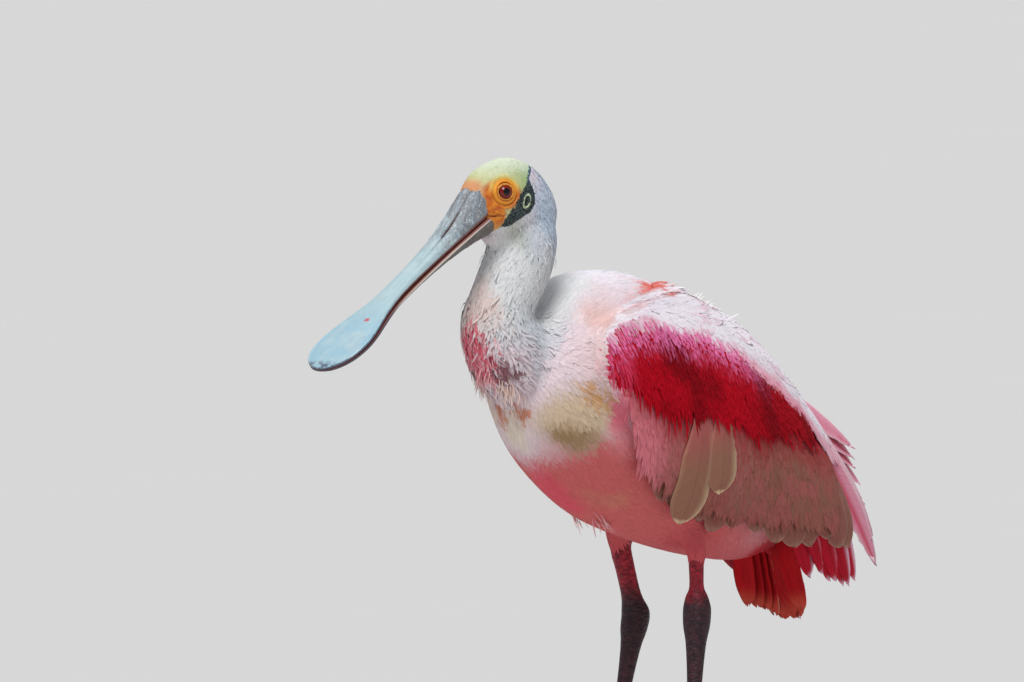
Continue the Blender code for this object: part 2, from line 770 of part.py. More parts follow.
def make_thigh(side):
    """The feathered top of the leg, a short cone out of the belly."""
    top, _, _ = leg_points(side)
    rise = Vector((side * -0.010, -0.004, 0.030))
    rows = [(*(top + rise * t), radius) for t, radius in ((1, 0.0160), (0.5, 0.0155), (0.2, 0.0135))]
    rows.append((*(top - rise * 0.1), 0.0095))
    thigh = tube(side_name("thigh", side), rows, 2)
    trim(thigh, top + Vector((0, 0, GAP)), (0, 0, -1))
    cut(thigh, [torso_body("torso_clear", GAP)])
    return thigh


def make_shank(side):
    top, ankle, _ = leg_points(side)
    end = ankle + (top - ankle).normalized() * (ANKLE_RISE + GAP)
    sizes = ((-0.08, 0.0072), (0.35, 0.0066), (0.75, 0.0066), (1, 0.0073))
    shank = tube(side_name("shank", side), [(*top.lerp(end, t), radius) for t, radius in sizes])
    trim(shank, top, (0, 0, 1))
    return shank


def make_tarsus(side):
    """The ankle's knob and the bare leg below it."""
    top, ankle, foot = leg_points(side)
    start = ankle + (top - ankle).normalized() * ANKLE_RISE
    end = foot - (ankle - foot).normalized() * 0.003
    rows = [(*start, 0.0074), (*start.lerp(ankle, 0.55), 0.0090), (*ankle, 0.0094)]
    sizes = ((0.10, 0.0080), (0.22, 0.0056), (0.5, 0.0048), (0.8, 0.0049), (1.0, 0.0056))
    rows += [(*ankle.lerp(end, t), radius) for t, radius in sizes]
    tarsus = tube(side_name("tarsus", side), rows)
    trim(tarsus, (0, 0, foot.z + GAP), (0, 0, -1))
    return tarsus


def toe_heading(side, toe):
    turn = side * (TOES[toe][0] + FOOT_SPLAY)
    return Vector((math.sin(turn), -math.cos(turn), 0))


def toe_rows(side, toe):
    """A toe's middle line and radius, from the foot joint down to the floor and out to the claw."""
    _, _, joint = leg_points(side)
    heading, length = toe_heading(side, toe), TOES[toe][1]
    knuckles = ((0, 40), (0.14, 42), (0.30, 37), (0.40, 39), (0.60, 31), (0.70, 33), (1, 21))
    rows = []
    for t, tenths in knuckles:
        radius = tenths * 0.0001
        height = max(radius - SOLE_FLAT, mix(0.0075, 0.0, t / 0.16))
        rows.append((joint.x + heading.x * length * t, joint.y + heading.y * length * t, height, radius))
    return rows


def web(name, side, toes):
    """The small web between two toes, its free edge drawn in."""
    _, _, joint = leg_points(side)
    root = Vector((joint.x, joint.y, 0))
    first, second = (toe_heading(side, toe) * WEB_REACH for toe in toes)
    outline = [root, root + first, root + (first + second) * 0.36, root + second]
    count = len(outline)
    points = [p + Vector((0, 0, z)) for z in (0.0006, 0.0006 + WEB_THICKNESS) for p in outline]
    faces = [list(range(count)), list(range(count, 2 * count))]
    faces += [(i, (i + 1) % count, count + (i + 1) % count, count + i) for i in range(count)]
    return closed_mesh(name, points, faces)


def make_foot(side):
    _, _, joint = leg_points(side)
    sizes = ((0, 0.0060), (0.35, 0.0066), (0.65, 0.0060), (0.88, 0.0042))
    stem = [(joint.x, joint.y, joint.z * (1 - t), radius) for t, radius in sizes]
    foot = tube(side_name("foot", side), stem)
    pieces = [tube(f"toe_{toe}", toe_rows(side, toe), 1, 8) for toe in TOES]
    pieces += [web("web_inner", side, ("middle", "inner")), web("web_outer", side, ("middle", "outer"))]
    unite(foot, pieces)
    trim(foot, (0, 0, 0), (0, 0, -1))
    return foot


def make_claw(side, toe):
    """A tapering claw on a toe's end, bent towards the floor."""
    x, y, z, radius = toe_rows(side, toe)[-1]
    heading, length = toe_heading(side, toe), TOES[toe][2]
    rows = []
    for t, share, drop in ((0, 0.86, 0.0), (0.35, 0.72, 0.0), (0.7, 0.42, 0.0003), (0.92, 0.16, 0.0009)):
        reach = GAP + length * t
        rows.append((x + heading.x * reach, y + heading.y * reach, z + 0.0005 - drop, radius * share))
    point = Vector((x, y, z)) + heading * (length + GAP) + Vector((0, 0, -0.0009))
    return tube(side_name(f"claw_{toe}", side), rows, 1, 6, (None, point))


def build_bird():
    clear_scene()
    bird = bpy.data.objects.new("roseate_spoonbill", None)
    bpy.context.scene.collection.objects.link(bird)
    bird.location = (0, CENTRE_SHIFT, 0)
    finish(torso_body("torso"), PALE_PINK, 0.85, bird)
    finish(make_head(), CROWN_GREEN, 0.75, bird)
    for jaw_half in make_bill():
        finish(jaw_half, BILL_BLUE, 0.5, bird)
    for length in make_neck():
        finish(length, SHELL_WHITE, 0.85, bird)
    finish(make_tail(), TAIL_ORANGE, 0.8, bird)
    for side in (1, -1):
        finish(make_eye(side), EYE_RED, 0.1, bird)
        finish(make_wing(side), ROSE, 0.8, bird)
        finish(make_thigh(side), PALE_PINK, 0.85, bird)
        finish(make_shank(side), LEG_RED, 0.55, bird)
        finish(make_tarsus(side), ANKLE_PURPLE, 0.6, bird)
        finish(make_foot(side), ANKLE_PURPLE, 0.6, bird)
        for toe in TOES:
            finish(make_claw(side, toe), CLAW_BLACK, 0.4, bird)


build_bird()
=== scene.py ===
# Roseate spoonbill: skin, bill, eyes, claws, plumage, floor, light and camera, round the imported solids.

import math
import random

import bmesh
import bpy
import numpy as np
from mathutils import Matrix, Vector
from mathutils.bvhtree import BVHTree


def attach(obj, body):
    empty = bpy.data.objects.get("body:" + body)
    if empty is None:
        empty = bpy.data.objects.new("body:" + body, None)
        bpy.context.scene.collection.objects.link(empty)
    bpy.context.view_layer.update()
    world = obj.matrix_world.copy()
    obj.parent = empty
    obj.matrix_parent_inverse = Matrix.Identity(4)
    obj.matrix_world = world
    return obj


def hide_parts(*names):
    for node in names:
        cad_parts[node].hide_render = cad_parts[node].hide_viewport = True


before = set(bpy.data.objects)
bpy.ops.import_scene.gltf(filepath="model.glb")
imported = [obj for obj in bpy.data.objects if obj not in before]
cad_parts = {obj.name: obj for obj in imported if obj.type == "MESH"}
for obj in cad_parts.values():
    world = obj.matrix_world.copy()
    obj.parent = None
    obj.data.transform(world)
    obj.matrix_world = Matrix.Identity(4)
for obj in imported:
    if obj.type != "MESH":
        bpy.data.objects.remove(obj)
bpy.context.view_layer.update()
shift = Vector((0, 0.0625, 0))  # the rows below are laid out from the ankles, as in the solids


def colour(red, green, blue):
    return tuple(((c / 255 + 0.055) / 1.055) ** 2.4 if c > 10 else c / 3294 for c in (red, green, blue))


def rowsAt(rows, place):
    rows = np.asarray(rows, float)
    place = np.asarray(place, float)
    i = np.clip(np.floor(place).astype(int), 0, len(rows) - 2)
    t = (place - i)[..., None]
    b, c = rows[i], rows[i + 1]
    a = np.where((i > 0)[..., None], rows[np.maximum(i - 1, 0)], 2 * b - c)
    d = np.where((i + 2 < len(rows))[..., None], rows[np.minimum(i + 2, len(rows) - 1)], 2 * c - b)
    return 0.5 * (2 * b + (c - a) * t + (2 * a - 5 * b + 4 * c - d) * t**2 + (3 * b - a - 3 * c + d) * t**3)


def unit(v):
    v = np.asarray(v, float)
    return v / np.maximum(np.linalg.norm(v, axis=-1, keepdims=True), 1e-12)


def smoothstep(x, low, high):
    t = np.clip((np.asarray(x, float) - low) / (high - low), 0, 1)
    return t * t * (3 - 2 * t)


def lay(tint, shade, share):
    # one colour over another, by its share at each place
    share = np.asarray(share, float)[..., None]
    return np.asarray(tint, float) * (1 - share) + np.asarray(shade, float) * share


def leftHalf(p):
    # the same places, folded over to the left half of the body
    return np.stack([np.abs(p[:, 0]), p[:, 1], p[:, 2]], -1)


def nameOf(side):
    return "left" if side > 0 else "right"


def waves(points, size, seed, count=7):
    # a cheap smooth noise, about -1 to 1, with features of the given size
    draw = np.random.default_rng(seed)
    total = np.zeros(len(points))
    for _ in range(count):
        way = unit(draw.normal(size=3)) * draw.uniform(0.6, 1.5) / size
        total += np.sin(points @ way * 2 * np.pi + draw.uniform(0, 6.28))
    return total / math.sqrt(count)


def link(name, mesh):
    piece = bpy.data.objects.new(name, mesh)
    bpy.context.scene.collection.objects.link(piece)
    return piece


def fromBmesh(name, bm):
    mesh = bpy.data.meshes.new(name)
    bm.to_mesh(mesh)
    bm.free()
    mesh.shade_smooth()
    return link(name, mesh)


def addValues(mesh, values):
    # numbers or colours stored at every corner point, for the shaders
    for label, data in values.items():
        data = np.asarray(data, np.float32)
        kind, field = ("FLOAT_VECTOR", "vector") if data.ndim == 2 else ("FLOAT", "value")
        layer = mesh.attributes.new(label, kind, "POINT")
        layer.data.foreach_set(field, data.ravel())


def joinedMesh(name, points, quads, uvs, values, smooth=True):
    # points (n, 3), quads (m, 4) with a repeated last corner for a triangle
    mesh = bpy.data.meshes.new(name)
    quads = np.asarray(quads, dtype=np.int32)
    isTri = quads[:, 3] == quads[:, 2]
    sizes = np.where(isTri, 3, 4).astype(np.int32)
    keep = np.ones(quads.shape, bool)
    keep[isTri, 3] = False
    corners = quads[keep]
    mesh.vertices.add(len(points))
    mesh.vertices.foreach_set("co", np.asarray(points, np.float32).ravel())
    mesh.loops.add(len(corners))
    mesh.loops.foreach_set("vertex_index", corners)
    mesh.polygons.add(len(quads))
    starts = np.concatenate(([0], np.cumsum(sizes)[:-1])).astype(np.int32)
    mesh.polygons.foreach_set("loop_start", starts)
    mesh.polygons.foreach_set("loop_total", sizes)
    mesh.update(calc_edges=True)
    for label, uv in uvs.items():
        layer = mesh.uv_layers.new(name=label)
        uv = np.asarray(uv, np.float32)
        # one place for each vertex, or one for each corner of the quads
        layer.data.foreach_set("uv", (uv[keep] if uv.ndim == 3 else uv[corners]).ravel())
    addValues(mesh, values)
    if smooth:
        mesh.shade_smooth()
    else:
        mesh.shade_flat()
    return link(name, mesh)


class Sock:
    def __init__(self, look, out):
        self.look, self.out = look, out

    def maths(self, operation, a, b=None):
        return self.look.add("ShaderNodeMath", {"operation": operation}, {0: a, 1: b}).value(0)

    def size(self):
        return self.maths("ABSOLUTE", self)

    def most(self, other):
        return self.maths("MAXIMUM", self, other)

    def __add__(self, other):
        return self.maths("ADD", self, other)

    def __radd__(self, other):
        return self.maths("ADD", other, self)

    def __sub__(self, other):
        return self.maths("SUBTRACT", self, other)

    def __rsub__(self, other):
        return self.maths("SUBTRACT", other, self)

    def __mul__(self, other):
        return self.maths("MULTIPLY", self, other)


class Made:
    def __init__(self, look, node):
        self.look, self.node = look, node

    def value(self, name):
        return Sock(self.look, self.node.outputs[name])


class Look:
    def __init__(self, name):
        self.material = bpy.data.materials.new(name)
        self.material.use_nodes = True
        self.tree = self.material.node_tree
        self.shader = self.tree.nodes["Principled BSDF"]

    def add(self, kind, settings=None, sockets=None):
        node = self.tree.nodes.new(kind)
        for key, setting in (settings or {}).items():
            if key == "stops":
                ramp = node.color_ramp
                while len(ramp.elements) < len(setting):
                    ramp.elements.new(0.5)
                for element, (place, tint) in zip(ramp.elements, setting):
                    element.position, element.color = place, (*tint, 1)
            else:
                setattr(node, key, setting)
        for key, value in (sockets or {}).items():
            self.feed(node.inputs[key], value)
        return Made(self, node)

    def feed(self, socket, value):
        if value is None:
            return
        if isinstance(value, Sock):
            self.tree.links.new(value.out, socket)
        elif isinstance(value, tuple) and socket.type == "RGBA":
            socket.default_value = (*value, 1)
        else:
            socket.default_value = value

    def place(self, centre=(0, 0, 0)):
        where = self.add("ShaderNodeTexCoord").value("Object")
        offset = tuple(-c for c in centre)
        return self.add("ShaderNodeMapping", {}, {"Vector": where, "Location": offset}).value("Vector")

    def attribute(self, name, output="Fac"):
        return self.add("ShaderNodeAttribute", {"attribute_name": name}).value(output)

    def parts(self, vector):
        made = self.add("ShaderNodeSeparateXYZ", {}, {"Vector": vector})
        return made.value("X"), made.value("Y"), made.value("Z")

    def combined(self, x, y, z):
        return self.add("ShaderNodeCombineXYZ", {}, {"X": x, "Y": y, "Z": z}).value("Vector")

    def stretch(self, vector, scale):
        return self.add("ShaderNodeVectorMath", {"operation": "MULTIPLY"}, {0: vector, 1: scale}).value(0)

    def stretchTint(self, tint, scale):
        # a colour made darker or lighter
        grey = self.combined(scale, scale, scale)
        return self.add("ShaderNodeVectorMath", {"operation": "MULTIPLY"}, {0: tint, 1: grey}).value(0)

    def noise(self, vector, scale, detail=3.0, rough=0.55, warp=0.0):
        sockets = {"Vector": vector, "Scale": scale, "Detail": detail, "Roughness": rough, "Distortion": warp}
        return self.add("ShaderNodeTexNoise", {}, sockets).value("Fac")

    def step(self, value, low, high):
        sockets = {"Value": value, "From Min": low, "From Max": high}
        return self.add("ShaderNodeMapRange", {"interpolation_type": "SMOOTHSTEP"}, sockets).value("Result")

    def mix(self, factor, a, b):
        made = self.add("ShaderNodeMix", {"data_type": "RGBA", "clamp_factor": True})
        self.feed(made.node.inputs[0], factor)
        self.feed(made.node.inputs[6], a)
        self.feed(made.node.inputs[7], b)
        return made.value(2)

    def laid(self, base, *layers):
        # tints laid over one another, each as (share, tint)
        for share, tint in layers:
            base = self.mix(share, base, tint)
        return base

    def patch(self, where, centre, reach, soft):
        # 1 inside an ellipsoid, fading to 0 at its edge
        away = self.add("ShaderNodeVectorMath", {"operation": "SUBTRACT"}, {0: where, 1: centre}).value(0)
        scaled = self.stretch(away, tuple(1 / r for r in reach))
        length = self.add("ShaderNodeVectorMath", {"operation": "LENGTH"}, {0: scaled}).value("Value")
        return self.step(length, 1.0, 1.0 - soft)

    def bump(self, height, strength, distance):
        sockets = {"Height": height, "Strength": strength, "Distance": distance}
        return self.add("ShaderNodeBump", {}, sockets).value("Normal")

    def finish(self, tint=None, rough=None, normal=None, **numbers):
        self.feed(self.shader.inputs["Base Color"], tint)
        self.feed(self.shader.inputs["Roughness"], rough)
        self.feed(self.shader.inputs["Normal"], normal)
        for key, value in numbers.items():
            self.shader.inputs[key.replace("_", " ")].default_value = value
        return self.material


form = {
    "torso": (
        (-0.100, 0.332, -0.133, 0.276, 0.030),
        (-0.080, 0.3505, -0.128, 0.253, 0.047),
        (-0.044, 0.3545, -0.108, 0.2195, 0.058),
        (0.000, 0.3445, -0.068, 0.1865, 0.063),
        (0.045, 0.3225, -0.020, 0.1675, 0.062),
        (0.087, 0.286, 0.029, 0.1550, 0.052),
        (0.113, 0.243, 0.073, 0.1495, 0.036),
        (0.126, 0.203, 0.102, 0.154, 0.020),
    ),
    "wrapTail": (
        (0.092, 0.2865, 0.030, 0.152, 0.055),
        (0.133, 0.2440, 0.076, 0.128, 0.046),
        (0.172, 0.1990, 0.112, 0.100, 0.034),
        (0.200, 0.160, 0.140, 0.075, 0.024),
    ),
    "head": (
        (-0.1690, 0.4125, -0.1500, 0.3770, 0.0120),
        (-0.1610, 0.4218, -0.1440, 0.3720, 0.0150),
        (-0.1480, 0.4284, -0.1350, 0.3690, 0.0180),
        (-0.1330, 0.4316, -0.1230, 0.3665, 0.0202),
        (-0.1170, 0.4278, -0.1110, 0.3665, 0.0206),
        (-0.1030, 0.4156, -0.1020, 0.3720, 0.0174),
        (-0.0950, 0.4020, -0.0970, 0.3820, 0.0110),
    ),
    "neck": (
        (-0.117, 0.398, 0.0190),
        (-0.1163, 0.380, 0.0246),
        (-0.1200, 0.362, 0.0252),
        (-0.128, 0.347, 0.0246),
        (-0.135, 0.334, 0.0243),
        (-0.139, 0.322, 0.0250),
        (-0.133, 0.308, 0.0285),
        (-0.122, 0.295, 0.0310),
        (-0.105, 0.283, 0.0310),
        (-0.086, 0.272, 0.0300),
    ),
    "legSpread": 0.033,
    "legs": {
        1: ((0.012, 0.162), (0.013, 0.120), (0.008, 0.0130)),
        -1: ((0.003, 0.160), (0.017, 0.114), (-0.006, 0.0130)),
    },
    "ankleRise": 0.011,
    "footSplay": math.radians(8),
    "toes": {
        "middle": (math.radians(0), 0.076, 0.0095),
        "inner": (math.radians(-33), 0.058, 0.0085),
        "outer": (math.radians(34), 0.065, 0.0085),
        "hind": (math.radians(186), 0.030, 0.0075),
    },
}
form["wrap"] = form["torso"][:5] + form["wrapTail"]


def ringAt(bm, centre, across, up, sides):
    # a circle laid out by its two half axes, and its edges
    facing = across.cross(up).normalized()
    turn = Matrix((across, up, facing)).transposed().to_4x4()
    matrix = Matrix.Translation(centre) @ turn
    made = bmesh.ops.create_circle(bm, cap_ends=False, segments=sides, radius=1.0, matrix=matrix)
    return list({edge for vert in made["verts"] for edge in vert.link_edges})


def ringThrough(bm, places):
    # a closed ring through the given places, as its edges
    made = bmesh.ops.create_circle(bm, cap_ends=False, segments=len(places), radius=1.0)
    for vert, place in zip(made["verts"], places):
        vert.co = place
    return list({edge for vert in made["verts"] for edge in vert.link_edges})


def closeTube(bm, loops, sides):
    # bridges rings of edges into one tube and closes both of its ends
    before = set(bm.faces)
    for first, second in zip(loops, loops[1:]):
        bmesh.ops.bridge_loops(bm, edges=first + second)
    bmesh.ops.holes_fill(bm, edges=loops[0] + loops[-1], sides=sides)
    bmesh.ops.recalc_face_normals(bm, faces=[face for face in bm.faces if face not in before])


def loft(bm, rings, sides):
    # rings are (centre, across, up)
    closeTube(bm, [ringAt(bm, *ring, sides) for ring in rings], sides)


def outlineRings(rows, inset, steps):
    rings = []
    for place in np.linspace(0, len(rows) - 1, steps):
        backY, backZ, frontY, frontZ, half = rowsAt(rows, place)
        back, front = Vector((0, backY, backZ)) + shift, Vector((0, frontY, frontZ)) + shift
        up = (back - front) / 2
        rings.append(((back + front) / 2, Vector((half - inset, 0, 0)), up * (1 - inset / up.length)))
    return rings


def tubeRings(rows, steps, inset=0.0):
    # rows are (x, y, z, radius)
    run = [rowsAt(rows, place) for place in np.linspace(0, len(rows) - 1, steps)]
    rings = []
    for i, (x, y, z, radius) in enumerate(run):
        along = (Vector(run[min(i + 1, steps - 1)][:3]) - Vector(run[max(i - 1, 0)][:3])).normalized()
        aside = Vector((1, 0, 0)) if abs(along.x) < 0.7 else Vector((0, 0, 1))
        up = along.cross(aside).normalized()
        across = up.cross(along).normalized()
        size = max(radius - inset, 0.0004)
        rings.append((Vector((x, y, z)) + shift, across * size, up * size))
    return rings


limbs = {
    # radii along each part, at shares of its length; the thigh's run up into the body
    "thigh": ((1, 0.0110), (0.5, 0.0092), (0.1, 0.0070), (-0.2, 0.0062)),
    "shank": ((-0.5, 0.0080), (0, 0.0074), (0.3, 0.0068), (0.62, 0.0068)),
    "tarsus": ((0.10, 0.0092), (0.22, 0.0070), (0.5, 0.0052), (0.8, 0.0050), (1.0, 0.0058)),
    "toe": (
        (0, 0.0040), (0.14, 0.0042), (0.30, 0.0037), (0.40, 0.0039),
        (0.60, 0.0031), (0.70, 0.0033), (1, 0.0022),
    ),
}


def legPoints(side):
    return [Vector((side * form["legSpread"], y, z)) for y, z in form["legs"][side]]


def toeWay(side, toe):
    turn = side * (form["toes"][toe][0] + form["footSplay"])
    return Vector((math.sin(turn), -math.cos(turn), 0))


def toeRows(side, toe):
    joint = legPoints(side)[2]
    way, length = toeWay(side, toe), form["toes"][toe][1]
    rows = []
    for t, radius in limbs["toe"]:
        height = max(radius - 0.0003, 0.0075 * (1 - t / 0.16))
        rows.append((joint.x + way.x * length * t, joint.y + way.y * length * t, height, radius))
    return rows


skin = {
    "voxel": 0.0020,
    "torsoInset": 0.0018,
    "neckInset": 0.0022,
    "blend": 9,  # rounds of smoothing under the feathers
    "finish": 3,  # rounds of smoothing everywhere
    "legsBelow": 0.155,
    "headAbove": 0.372,
    "headBefore": -0.09,
    "floor": 0.0002,
}


def bodyForms():
    bm = bmesh.new()
    torso = outlineRings(form["torso"], skin["torsoInset"], 30)
    first, last = torso[0], torso[-1]
    torso.insert(0, (first[0] + Vector((0, -0.006, -0.002)), first[1] * 0.45, first[2] * 0.45))
    torso.append((last[0] + Vector((0, 0.004, -0.006)), last[1] * 0.5, last[2] * 0.5))
    loft(bm, torso, 56)
    head = outlineRings(form["head"], 0.0, 22)
    head.insert(0, (head[0][0] + Vector((0, -0.0012, -0.0002)), head[0][1] * 0.6, head[0][2] * 0.6))
    head.append((head[-1][0] + Vector((0, 0.0022, 0)), head[-1][1] * 0.55, head[-1][2] * 0.55))
    loft(bm, head, 48)
    loft(bm, tubeRings([(0, *row) for row in form["neck"]], 30, skin["neckInset"]), 40)
    stump = [
        (0, 0.095, 0.192, 0.020), (0, 0.108, 0.178, 0.018), (0, 0.114, 0.164, 0.012),
        (0, 0.117, 0.154, 0.006),
    ]
    loft(bm, tubeRings(stump, 8), 24)
    for side in (1, -1):
        top, ankle, foot = legPoints(side)
        rise = Vector((side * -0.010, -0.004, 0.030))
        thigh = [(*(top + rise * t), r) for t, r in limbs["thigh"]]
        loft(bm, tubeRings(thigh, 8), 24)
        slim = 0.78 if side > 0 else 1.0
        leg = [(*top.lerp(ankle, t), r * slim) for t, r in limbs["shank"]]
        start = ankle + (top - ankle).normalized() * form["ankleRise"]
        leg += [(*start, 0.0076), (*start.lerp(ankle, 0.55), 0.0092), (*ankle, 0.0098)]
        leg += [(*ankle.lerp(foot, t), r) for t, r in limbs["tarsus"]]
        leg.append((foot.x, foot.y, 0.0045, 0.0060))
        loft(bm, tubeRings(leg, 60), 24)
        for toe in form["toes"]:
            loft(bm, tubeRings(toeRows(side, toe), 22), 16)
        addWeb(bm, side)
        addArm(bm, side)
    return fromBmesh("skin", bm)


def addWeb(bm, side):
    # the small webs between the front toes
    joint = legPoints(side)[2]
    root = Vector((joint.x, joint.y, 0.0016)) + shift
    for pair in (("middle", "inner"), ("middle", "outer")):
        first, second = (toeWay(side, toe) * 0.026 for toe in pair)
        corners = [root, root + first, root + (first + second) * 0.36, root + second]
        verts = [bmesh.ops.create_vert(bm, co=c)["vert"][0] for c in corners]
        face = bmesh.ops.contextual_create(bm, geom=verts)["faces"]
        if face and face[0].normal.z < 0:
            bmesh.ops.reverse_faces(bm, faces=face)
        bmesh.ops.recalc_face_normals(bm, faces=face)
        bmesh.ops.solidify(bm, geom=face, thickness=0.0022)


def makeSkin():
    piece = bodyForms()
    remesh = piece.modifiers.new("Remesh", "REMESH")
    remesh.mode = "VOXEL"
    remesh.voxel_size = skin["voxel"]
    applyAll(piece)
    mesh = piece.data
    points = pointsOf(mesh) - np.array(shift)
    # many rounds of smoothing where feathers cover the skin, then a few rounds everywhere
    weights = np.where(points[:, 2] < skin["legsBelow"], 0.0, 1.0)
    weights[(points[:, 2] > skin["headAbove"]) & (points[:, 1] < skin["headBefore"])] = 0.0
    group = piece.vertex_groups.new(name="blend")
    for index in np.nonzero(weights)[0]:
        group.add([int(index)], 1.0, "REPLACE")
    for weightGroup, rounds in (("blend", skin["blend"]), ("", skin["finish"])):
        smooth = piece.modifiers.new("Smooth", "SMOOTH")
        smooth.factor, smooth.iterations, smooth.vertex_group = 0.5, rounds, weightGroup
    applyAll(piece)
    piece.vertex_groups.clear()
    keepAbove(piece.data, skin["floor"])
    return piece


def keepAbove(mesh, height):
    points = pointsOf(mesh)
    points[:, 2] = np.maximum(points[:, 2], height)
    mesh.vertices.foreach_set("co", points.astype(np.float32).ravel())
    mesh.update()


def applyAll(piece):
    bpy.context.view_layer.update()
    graph = bpy.context.evaluated_depsgraph_get()
    mesh = bpy.data.meshes.new_from_object(piece.evaluated_get(graph))
    piece.modifiers.clear()
    piece.data = mesh
    mesh.shade_smooth()


def pointsOf(mesh):
    points = np.empty(len(mesh.vertices) * 3, np.float32)
    mesh.vertices.foreach_get("co", points)
    return points.reshape(-1, 3).astype(float)


def normalsOf(mesh):
    normals = np.empty(len(mesh.vertices) * 3, np.float32)
    mesh.vertices.foreach_get("normal", normals)
    return normals.reshape(-1, 3).astype(float)


arm = {
    "rows": (
        (-0.099, 0.298, 0.012),
        (-0.084, 0.295, 0.028),
        (-0.042, 0.288, 0.046),
        (0.000, 0.281, 0.055),
        (0.040, 0.267, 0.054),
        (0.078, 0.248, 0.040),
        (0.108, 0.228, 0.018),
    ),
    "height": 0.0070,
    "sink": 0.0080,
}


def wrapAt(rows, y, z):
    # where a side view's (y, z) lies on the envelope: place along the rows, level, point and normal
    y, z = np.asarray(y, float), np.asarray(z, float)
    low, high = np.full(y.shape, -0.5), np.full(y.shape, len(rows) - 0.5)
    for _ in range(26):
        middle = (low + high) / 2
        r = rowsAt(rows, middle)
        ahead = (r[..., 2] - r[..., 0]) * (z - r[..., 1]) - (r[..., 3] - r[..., 1]) * (y - r[..., 0]) > 0
        low, high = np.where(ahead, middle, low), np.where(ahead, high, middle)
    place = (low + high) / 2
    r = rowsAt(rows, place)
    backY, backZ, frontY, frontZ, half = (r[..., k] for k in range(5))
    upY, upZ = (backY - frontY) / 2, (backZ - frontZ) / 2
    length = np.hypot(upY, upZ)
    level = ((y - (backY + frontY) / 2) * upY + (z - (backZ + frontZ) / 2) * upZ) / length**2
    return place, level, half, np.stack([upY / length, upZ / length], -1), length


def onWrap(y, z, off, limit=0.97):
    _, level, half, up, length = wrapAt(form["wrap"], y, z)
    level = np.clip(level, -limit, limit)
    bulge = np.sqrt(1 - level**2)
    normal = unit(np.stack([bulge / half, up[..., 0] * level / length, up[..., 1] * level / length], -1))
    point = np.stack([half * bulge, np.asarray(y, float), np.asarray(z, float)], -1)
    off = np.asarray(off, float)
    return point + normal * off[..., None] if off.ndim else point + normal * off, normal


def addArm(bm, side):
    loops = []
    for y, z, half in rowsAt(arm["rows"], np.linspace(0, 6, 24)):
        turns = np.linspace(-1, 1, 17)
        out, _ = onWrap(np.full(17, y), z + turns * half, arm["height"] * np.sqrt(1 - 0.8 * turns**2))
        inner = np.linspace(0.9, -0.9, 9)
        sunk, _ = onWrap(np.full(9, y), z + inner * half, -arm["sink"])
        ring = np.concatenate([out, sunk])
        ring[:, 0] = np.maximum(ring[:, 0], 0.001) * side
        loops.append(ringThrough(bm, [Vector(co) + shift for co in ring]))
    closeTube(bm, loops, len(ring))


face = {
    "eye": Vector((0.0127, -0.1456, 0.4088)),
    "eyeWay": Vector((0.93, -0.34, 0.12)).normalized(),
    "eyeRadius": 0.0063,
    "lidRadius": 0.0056,
    "ear": (-0.1306, 0.4026),
    "earSize": (0.0024, 0.0043),
    "earTilt": 0.36,
}


relief = {
    # rings round the eye: height, radius and width
    "rim": (0.0009, 0.0070, 0.0011),
    "groove": (-0.0008, 0.0091, 0.0007),
    "outerRim": (0.0004, 0.0106, 0.0012),
    # soft spots of the side view: height, middle and reach, each as (y, z)
    "brow": (0.0009, (-0.1475, 0.4195), (0.009, 0.0032)),
    "lore": (-0.0009, (-0.1555, 0.4035), (0.004, 0.0035)),
    "gape": (-0.0011, (-0.1545, 0.3930), (0.0080, 0.0007)),
    # the fine folds below the eye
    "foldPitch": 0.0021,
    "foldHeight": 0.00016,
    # the raised ring of the ear and its hollow
    "earRim": 0.0010,
    "earHollow": 0.0013,
}


def ringRise(ring, name):
    height, radius, width = relief[name]
    return height * np.exp(-(((ring - radius) / width) ** 2))


def spotRise(q, name, bend=0.0):
    height, (y, z), (wide, high) = relief[name]
    return height * np.exp(-(((q[:, 1] - y) / wide) ** 2 + ((q[:, 2] - z - bend) / high) ** 2))


def headRise(q, head, near, ring):
    # how far the skin of the head stands above its smooth form
    eyeHeight = face["eye"].z
    rise = np.where(near, ringRise(ring, "rim"), 0)
    under = smoothstep(q[:, 2], eyeHeight + 0.003, eyeHeight - 0.002)
    rise += np.where(near, ringRise(ring, "groove") * under, 0)
    rise += np.where(near, ringRise(ring, "outerRim"), 0)
    folds = np.sin((ring + 0.0006 * waves(q, 0.006, 3)) * 2 * np.pi / relief["foldPitch"])
    lower = smoothstep(eyeHeight - q[:, 2], -0.002, 0.004)
    lower = lower * smoothstep(ring, 0.0095, 0.0115) * smoothstep(ring, 0.021, 0.014)
    rise += np.where(near, relief["foldHeight"] * folds * lower, 0)
    rise += np.where(head & (q[:, 0] > 0.004), spotRise(q, "brow"), 0)
    rise += np.where(head, spotRise(q, "lore"), 0)
    ear = earPlace(q)
    hollow = relief["earHollow"] * np.exp(-((ear / 0.6) ** 2))
    earRise = relief["earRim"] * np.exp(-(((ear - 1.0) / 0.26) ** 2)) - hollow
    rise += np.where(head & (q[:, 0] > 0.008), earRise, 0)
    gape = spotRise(q, "gape", 0.0006 * np.sin(q[:, 1] * 900))
    rise += np.where(head & (q[:, 0] > 0.006), gape, 0)
    return rise + np.where(head, 0.00013 * waves(q, 0.0035, 5) + 0.00008 * waves(q, 0.0018, 6), 0)


